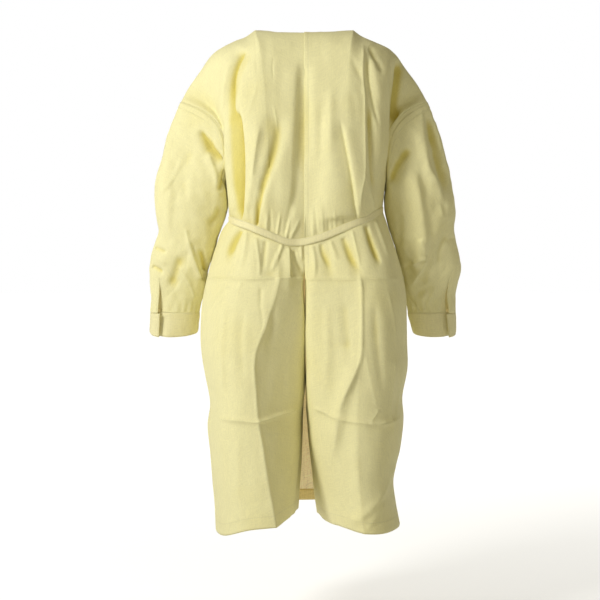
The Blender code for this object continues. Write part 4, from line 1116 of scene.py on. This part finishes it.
def sleeve_rings(side, angles, down):
    """Points of a sleeve tube and the lift of its folds. Angle 0 is the outer side and a
    quarter turn is the back. Down is 0 at the armhole, 1 at the cuff seam, then metres."""
    sign = SIGN[side]
    angles, down = np.meshgrid(angles, down)
    past = np.clip(down - 1, 0, None)
    sleeve_share = np.minimum(down, 1)
    outer_z = -blend(SHOULDER_DROP, CUFF_SEAM_DROP, sleeve_share) - past
    inner_z = -blend(SHOULDER_DROP + ARMHOLE_DEPTH, CUFF_SEAM_DROP, sleeve_share) - past
    outer_x = smooth_value(SLEEVE_OUTLINE, side + "_out", -outer_z)
    inner_x = smooth_value(SLEEVE_OUTLINE, side + "_in", -inner_z)
    depth = blend(SLEEVE_DEPTH_TOP, SLEEVE_DEPTH_CUFF, ease(down))
    forward = FOREARM_FORWARD * ease((down - 0.4) / 0.75) + CUFF_SLANT * past
    across, through = np.cos(angles), np.sin(angles)
    out = (outer_x + inner_x) / 2 + across * (outer_x - inner_x) / 2
    height = (outer_z + inner_z) / 2 + across * (outer_z - inner_z) / 2
    back = through * depth - forward

    turn = np.abs(np.mod(angles, 2 * math.pi))
    turn = np.where(turn > math.pi, 2 * math.pi - turn, turn) / math.pi
    seam_out, seam_bulge, _ = armhole(side, turn)
    start_out = (SHOULDER_OUT + UNDERARM_OUT[side]) / 2
    start_out = start_out + across * (SHOULDER_OUT - UNDERARM_OUT[side]) / 2
    fade = 1 - ease(down / 0.55)
    out = out + (seam_out - start_out) * fade
    back = back + (np.sign(through) * seam_bulge - through * SLEEVE_DEPTH_TOP) * fade
    near_seam = ease(down / 0.15) * ease((1.0 - down) / 0.1)
    lift = main_folds(SLEEVE_FOLDS, sign * out, height) * near_seam * ease(through * 2.5)
    return np.stack([sign * out, -(back + lift), height], axis=-1), lift


def shaped_rings(side, angles, down):
    """Sleeve or cuff rings whose slit edges part: the edge in front lifts, the other sinks."""
    points, lift = sleeve_rings(side, angles, down)
    closed = abs(angles[-1] - angles[0] - 2 * math.pi) < 0.001
    normals = outward(points, around=closed)
    if side == "left":
        normals = -normals
    angles, down = np.meshgrid(angles, down)
    open_share = ease((down - SLIT_START) / SLIT_LENGTH_SHARE)
    sink = -UNDERLAP_SINK * ease((SLIT_ANGLE + 0.55 - angles) / 0.5)
    raised = TAB_LIFT * ease((angles - SLIT_ANGLE - 2 * math.pi + 0.75) / 0.7)
    return points + normals * ((sink + raised) * open_share)[..., None], normals, lift


def left_turned(side, *grids):
    """Grids in the order that makes their outer face look outward on either side."""
    return tuple(grid[:, ::-1] for grid in grids) if side == "left" else grids


def stitched_cloth(name, stitching, points, finish, thick, edges, distance, joined_rows=0):
    """A cloth shell sewn along some of its edges, and its rows of stitches."""
    piece = cloth_shell(
        name, points, (finish,), thick=thick, joined_rows=joined_rows,
        sewn=sewn_lines(points, [(edge, distance, True) for edge in edges]),
    )
    lines = [line_in(points, edge, distance) for edge in edges]
    return piece, stitch_rows(stitching, lines, thread)


sleeve_angles = SLIT_ANGLE + 2 * math.pi * np.linspace(0, 1, RING_COLUMNS + 1)
sleeve_down = np.linspace(0, 1, SLEEVE_ROWS + 1)
around, down = np.meshgrid(sleeve_angles, sleeve_down)
joined = int(SLIT_START * SLEEVE_ROWS) + 1
in_slit = (sleeve_down > SLIT_START)[:, None]
for side, sign in SIGN.items():
    points, normals, lift = shaped_rings(side, sleeve_angles, sleeve_down)
    own = [crease for crease in SLEEVE_CREASES if sign * crease[PATH_START_X] > 0]
    other = [crease for crease in SLEEVE_CREASES if sign * crease[PATH_START_X] < 0]
    x, z = points[..., 0], points[..., 2]
    fine = fine_creases(own, x, z) * ease(np.sin(around) * 3)
    fine += fine_creases(other, -x, z + FRONT_CREASE_DROP) * ease(-np.sin(around) * 3)
    fine *= ease(down / 0.06) * ease((1 - down) / 0.03)
    gathers = np.sin(around * 17 + 2.2 * np.sin(around * 3)) * ease((down - 0.90) / 0.06)
    soft = unevenness(points, SLEEVE_LUMPS, sign) + GATHER_HEIGHT * gathers
    fine += soft * ease(down / 0.05) * ease((1 - down) / 0.01)
    points = points + normals * fine[..., None]
    points[:, -1] = np.where(sleeve_down[:, None] < SLIT_START, points[:, 0], points[:, -1])
    points, lift = left_turned(side, points, lift + fine)
    sewn = sewn_lines(points, [(edge, SEAM_STITCH, in_slit) for edge in ("first", "last")])
    sleeve = cloth_shell(
        "sleeve_cloth_" + side, points, (gown_cloth, gown_lining), lift=lift, sewn=sewn,
        joined_rows=joined,
    )

    # The band over the armhole seam
    reached = from_edge(points, "top")
    turn = np.abs(np.mod(sleeve_angles + math.pi, 2 * math.pi) - math.pi) / math.pi
    turn = left_turned(side, turn[None, :])[0][0]
    at = BAND_START[side] * np.sin(math.pi * turn) ** 0.7 + BAND_WIDTH * BAND_SECTION[0]
    band = read_columns(points, reached, at)
    band += BAND_SECTION[1][..., None] * read_columns(outward(points, around=True), reached, at)
    band[:, -1] = band[:, 0]
    band_sewn = sewn_lines(band, [(edge, BAND_STITCH, True) for edge in ("top", "bottom")])
    band_piece = cloth_shell(
        "armhole_band_" + side, band, (gown_cloth,), thick=TURNED_THICK, sewn=band_sewn,
        joined_rows=len(band),
    )
    stitches = stitch_rows(f"sleeve_stitching_{side}", [
        line_in(band, "top", BAND_STITCH),
        line_in(band, "bottom", BAND_STITCH),
        line_in(points[joined:], "first", SEAM_STITCH),
        line_in(points[joined:], "last", SEAM_STITCH),
    ], thread)
    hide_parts("sleeve_" + side)
    for piece in (sleeve, band_piece, stitches):
        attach(piece, "root")

    # The strip under the slit
    strip_angles = SLIT_ANGLE + np.linspace(-0.16, 0.22, 14)
    strip_down = np.linspace(SLIT_START - 0.02, 0.985, 44)
    strip, strip_normals, _ = shaped_rings(side, strip_angles, strip_down)
    strip = left_turned(side, strip - strip_normals * STRIP_SINK)[0]
    placket, strip_stitches = stitched_cloth(
        "slit_strip_" + side, "slit_strip_stitching_" + side, strip, gown_cloth, STRIP_THICK,
        ("first", "last"), STRIP_STITCH,
    )
    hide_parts("placket_" + side)
    for piece in (placket, strip_stitches):
        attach(piece, "root")


# Cuffs: two plies of the cloth, turned and topstitched all round. Each wraps the wrist
# from under the slit to an overlap end that stands off, and is sewn to the sleeve's edge.

CUFF_HEIGHT = 0.060
CUFF_THICK = 0.0018
CUFF_ROWS = 26
CUFF_COLUMNS = 150
CUFF_UNDERLAP = 0.38
CUFF_OVERLAP = 0.10
CUFF_TILT = (0.010, 0.013)
CUFF_CROWN = 0.0010
CUFF_WAVE = 0.0016
CUFF_LUMPS = ((0.0014, (0.03, 0.03, 0.05), 2.9), (0.0005, (0.010, 0.010, 0.016), 4.4))
CUFF_RIDGE = 0.0022
CUFF_RIDGE_HALF = 0.004
CUFF_RIDGE_X = 0.3515
CUFF_RIDGE_Z = -0.73
CUFF_RIDGE_SLANT = 0.08
EDGE_STITCH = 0.0025
CUFF_LIGHT = (0.87, 0.81, 0.47)
# Painted shade of the troughs in the cuffs and belt.
BAND_TROUGH_SHADE = (0.80, 0.66, 0.24)

cuff_cloth = woven_cloth("cuff_cloth", CUFF_LIGHT, BAND_TROUGH_SHADE, plies=0.6)
cuff_angles = SLIT_ANGLE + np.linspace(
    -CUFF_UNDERLAP, 2 * math.pi + CUFF_OVERLAP, CUFF_COLUMNS + 1,
)
cuff_down = 1 + np.linspace(0.0003, CUFF_HEIGHT, CUFF_ROWS + 1)
around, down = np.meshgrid(cuff_angles, cuff_down)
share = (down - 1) / CUFF_HEIGHT
for side, sign in SIGN.items():
    points, normals, _ = shaped_rings(side, cuff_angles, cuff_down)
    points[..., 2] += (CUFF_TILT[0] - CUFF_TILT[1] * np.sin(around)) * share
    crown = CUFF_CROWN * (1 - (2 * share - 1) ** 6)
    soft = unevenness(points, CUFF_LUMPS, sign)
    flare = CUFF_WAVE * np.sin(around * 2.6 + sign) * ease(share)
    if side == "right":
        ridge_x = CUFF_RIDGE_X + CUFF_RIDGE_SLANT * (CUFF_RIDGE_Z - points[..., 2])
        ridge = np.exp(-np.abs(ridge_x - points[..., 0]) / CUFF_RIDGE_HALF)
        flare += CUFF_RIDGE * ridge * ease(np.sin(around) * 3) * ease(share * 2)
    points = points + normals * (crown + soft * ease(share * 4) + flare)[..., None]
    points = left_turned(side, points)[0]
    cuff, stitches = stitched_cloth(
        "wrist_cuff_" + side, "cuff_stitching_" + side, points, cuff_cloth, CUFF_THICK,
        ("top", "bottom", "first", "last"), EDGE_STITCH,
    )
    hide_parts("cuff_" + side)
    for piece in (cuff, stitches):
        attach(piece, "root")

# Belt: a narrow folded band of the same cloth, edge-stitched on both sides, that runs
# round the waist over the gathers and is tied at the front in a small knot.

BELT_WIDTH = 0.018
BELT_THICK = 0.0014
BELT_CLEAR = 0.0005
BELT_REACH = BELT_WIDTH / 2 + 0.003
BELT_CROWN = 0.0004
BELT_ROLL = 0.0006
BELT_ROLLS = 9
BELT_STEPS = 420
# Steps to each side over which the belt's stand and its line are evened
BELT_EASING = 9
BELT_ROUNDING = 4
BELT_LIGHT = (0.88, 0.82, 0.48)
# The left half is hidden under the lap from here to the centre
LAP_X = -0.008


def belt_seat(points, down):
    """The line where a panel meets the belt, and how far its cloth bulges within the belt's
    height, both in the belt's own direction."""
    points = points[:, ::-1]
    row = int(np.argmin(np.abs(down - 1)))
    line = points[row]
    away = outward(points)[row]
    away[:, 2] = 0
    offset = points - line[None]
    near = np.abs(offset[..., 2]) < BELT_REACH
    bulge = np.where(near, (offset * unit(away)[None]).sum(axis=2), 0).max(axis=0)
    return np.concatenate([line, bulge[:, None]], axis=1)


def averaged(values, reach):
    """Values round a ring, each the mean of its neighbours within reach."""
    return np.mean([np.roll(values, shift, axis=0) for shift in range(-reach, reach + 1)], axis=0)


seat_left = belt_seat(back_grids["left"], back_down)
seat_right = belt_seat(back_grids["right"], back_down)
seat_front = belt_seat(front_points, front_down)
seat = np.concatenate([seat_left[seat_left[:, 0] < LAP_X], seat_right, seat_front[1:]])
reached = length_along(seat[:, :3])
at = np.linspace(0, reached[-1], BELT_STEPS + 1)
ring = np.array([np.interp(at, reached, axis) for axis in seat.T]).T[:-1]
stand = np.array([
    np.roll(ring[:, 3], shift) for shift in range(-BELT_EASING, BELT_EASING + 1)
]).max(axis=0)
smooth = averaged(ring[:, :3], BELT_ROUNDING)
ahead = unit(np.roll(smooth, -1, axis=0) - np.roll(smooth, 1, axis=0))
out = unit(np.cross(ahead, (0, 0, 1)))
stand = averaged(stand, BELT_EASING) + BELT_THICK + BELT_CLEAR
belt_line = smooth + out * stand[:, None]
heights = np.linspace(0.5, -0.5, 9)
crown = BELT_CROWN * (1 - (2 * heights) ** 4)
roll = BELT_ROLL * np.sin(np.linspace(0, 2 * math.pi, BELT_STEPS + 1)[:-1] * BELT_ROLLS)
belt_points = np.array([
    belt_line + out * (high + roll * share * 2)[:, None] + np.array([0, 0, BELT_WIDTH * share])
    for share, high in zip(heights, crown)
])
belt_points = np.concatenate([belt_points, belt_points[:, :1]], axis=1)[:, ::-1]
belt_cloth = woven_cloth("belt_cloth", BELT_LIGHT, BAND_TROUGH_SHADE, plies=0.4)
belt, belt_stitches = stitched_cloth(
    "waist_belt", "belt_stitching", belt_points, belt_cloth, BELT_THICK, ("top", "bottom"),
    EDGE_STITCH, joined_rows=len(heights),
)
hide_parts("belt")
for piece in (belt, belt_stitches):
    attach(piece, "root")

# Knot: the belt's own cloth, wound over itself and drawn tight, lying flat on the front
# of the belt.

KNOT_SIZE = (0.030, 0.022, 0.016)
KNOT_THICK = 0.0012
KNOT_CREASE = 0.10

knot_middle = [(low + high) / 2 for low, high in zip(*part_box("belt_knot"))]
turns, levels = np.meshgrid(
    np.linspace(0, 2 * math.pi, 73), np.linspace(-0.5 * math.pi, 0.5 * math.pi, 40),
)
ring_size = np.clip(np.cos(levels), 0.02, 1) ** 0.6
wrap = np.sin(3 * turns + 2.4 * levels)
creased = 1 - KNOT_CREASE * np.exp(-((wrap / 0.35) ** 2)) * np.cos(levels)
knot_points = np.stack([
    knot_middle[0] + (KNOT_SIZE[0] / 2) * ring_size * creased * np.cos(turns),
    knot_middle[1] + (KNOT_SIZE[2] / 2) * ring_size * creased * np.sin(turns),
    knot_middle[2] + (KNOT_SIZE[1] / 2) * np.sin(levels) * (0.96 + 0.04 * creased),
], axis=-1)
knot_points[:, -1] = knot_points[:, 0]
# The lift passed here only gives painted shade, a darker gold, in the knot's wound creases.
knot = cloth_shell(
    "belt_tie_knot", knot_points[::-1], (belt_cloth,), thick=KNOT_THICK,
    lift=(creased[::-1] - 1) * 0.05, joined_rows=len(knot_points),
)
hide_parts("belt_knot")
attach(knot, "root")

# Belt ends: the two free ends of the same band, stitched round, which hang from the knot
# over the front of the skirt.

BELT_END_WIDTH = 0.016
BELT_END_CLEAR = 0.0030
BELT_END_OUT = KNOT_SIZE[0] * 0.27
BELT_END_TWIST = 0.9 * 0.0025
# How near the front's cloth is felt for, sideways and down, under each end
REST_REACH = 0.014, 0.010
BELT_END_EASING = 6
BELT_ENDS = (
    ("left", 0.235, -0.055),
    ("right", 0.260, 0.040),
)

front_y, front_xz = front_points[..., 1].ravel(), front_points[..., ::2].reshape(-1, 2)
share = np.linspace(0, 1, 90)
for side, length, splay in BELT_ENDS:
    x = knot_middle[0] + SIGN[side] * BELT_END_OUT + splay * share**1.3
    z = knot_middle[2] - KNOT_SIZE[1] / 2 - 0.0004 - length * share
    y = np.array([
        front_y[np.all(np.abs(front_xz - spot) < REST_REACH, axis=1)].max()
        for spot in zip(x, z)
    ]) + BELT_END_CLEAR
    padded = np.pad(y, BELT_END_EASING, mode="edge")
    y = np.array([padded[i : i + 2 * BELT_END_EASING + 1].mean() for i in range(len(y))])
    y = blend(knot_middle[1], y, ease(share / 0.3))
    twist = BELT_END_TWIST * np.sin(share * 2.6 + SIGN[side]) * ease(share / 0.4)
    strip = np.stack([
        np.stack([
            x + BELT_END_WIDTH * wide,
            y + twist * 2 * wide + BELT_CROWN * (1 - (2 * wide) ** 4),
            z + BELT_END_WIDTH * wide * splay,
        ], axis=-1)
        for wide in np.linspace(-0.5, 0.5, 7)
    ], axis=1)
    if outward(strip)[..., 1].mean() < 0:
        strip = strip[:, ::-1]
    belt_end, end_stitches = stitched_cloth(
        "belt_tie_end_" + side, "belt_end_stitching_" + side, strip, belt_cloth, BELT_THICK,
        ("first", "last", "bottom"), EDGE_STITCH,
    )
    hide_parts("belt_end_" + side)
    for piece in (belt_end, end_stitches):
        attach(piece, "root")

# Studio: a seamless white floor, a soft key light from the left of the view, a weak fill
# from the right, and a camera level with the chest, straight behind the gown.

FLOOR_Z = -1.502
FLOOR_CORNERS = ((-40, -12), (40, -12), (40, 60), (-40, 60))

floor_finish, tree, shader = new_finish("studio_white")
grain = node(tree, "TexNoise", {"Scale": 3.0, "Detail": 2.0}).outputs["Fac"]
place = node(tree, "TexCoord").outputs["Object"]
behind = node(tree, "SeparateXYZ", {0: place}).outputs[1]
glow = ranged(tree, behind, -0.1, 0.35, 0.12, 0.62)
glow_far = ranged(tree, behind, 0.35, 3.0, 0.0, 0.3, "LINEAR")
feed(tree, shader, {
    "Base Color": ranged(tree, grain, 0.0, 1.0, 0.78, 0.81, "LINEAR"),
    "Roughness": 0.9,
    "Emission Color": (1, 1, 1, 1),
    "Emission Strength": reckoned(tree, "ADD", glow, glow_far),
})
corners = [(x, y, FLOOR_Z) for x, y in FLOOR_CORNERS]
floor = new_piece("studio_floor", corners, [(0, 1, 2, 3)], (floor_finish,))


def soft_light(name, place, target, size, watts, colour):
    light = bpy.data.lights.new(name, "AREA")
    light.shape = "DISK"
    light.size = size
    light.energy = watts
    light.color = colour
    lamp = bpy.data.objects.new(name, light)
    lamp.location = place
    lamp.rotation_euler = (Vector(target) - Vector(place)).to_track_quat("-Z", "Y").to_euler()
    bpy.context.scene.collection.objects.link(lamp)


soft_light("key_light", (-2.25, -1.95, 0.85), (0.0, 0.0, -0.65), 1.1, 79, (1.0, 0.995, 0.97))
soft_light("fill_light", (2.3, -3.2, 0.5), (0.0, 0.0, -0.6), 2.4, 13, (1.0, 0.94, 0.76))

world = bpy.data.worlds.new("studio_air")
world.use_nodes = True
air = world.node_tree
ray = node(air, "LightPath").outputs["Is Camera Ray"]
sky = node(
    air, "Mix", {"Factor": ray, 6: (0.22, 0.20, 0.14, 1), 7: (1, 1, 1, 1)}, data_type="RGBA",
)
feed(air, air.nodes["Background"], {"Color": sky.outputs[2]})
bpy.context.scene.world = world
bpy.context.scene.view_settings.view_transform = "Standard"

lens = bpy.data.cameras.new("camera")
lens.lens = 72
lens.sensor_width = 36
lens.shift_y = -0.0383
camera = bpy.data.objects.new("camera", lens)
camera.location = (-0.01, -3.0, -0.6175)
camera.rotation_euler = (math.radians(90), 0, 0)
bpy.context.scene.collection.objects.link(camera)
bpy.context.scene.camera = camera
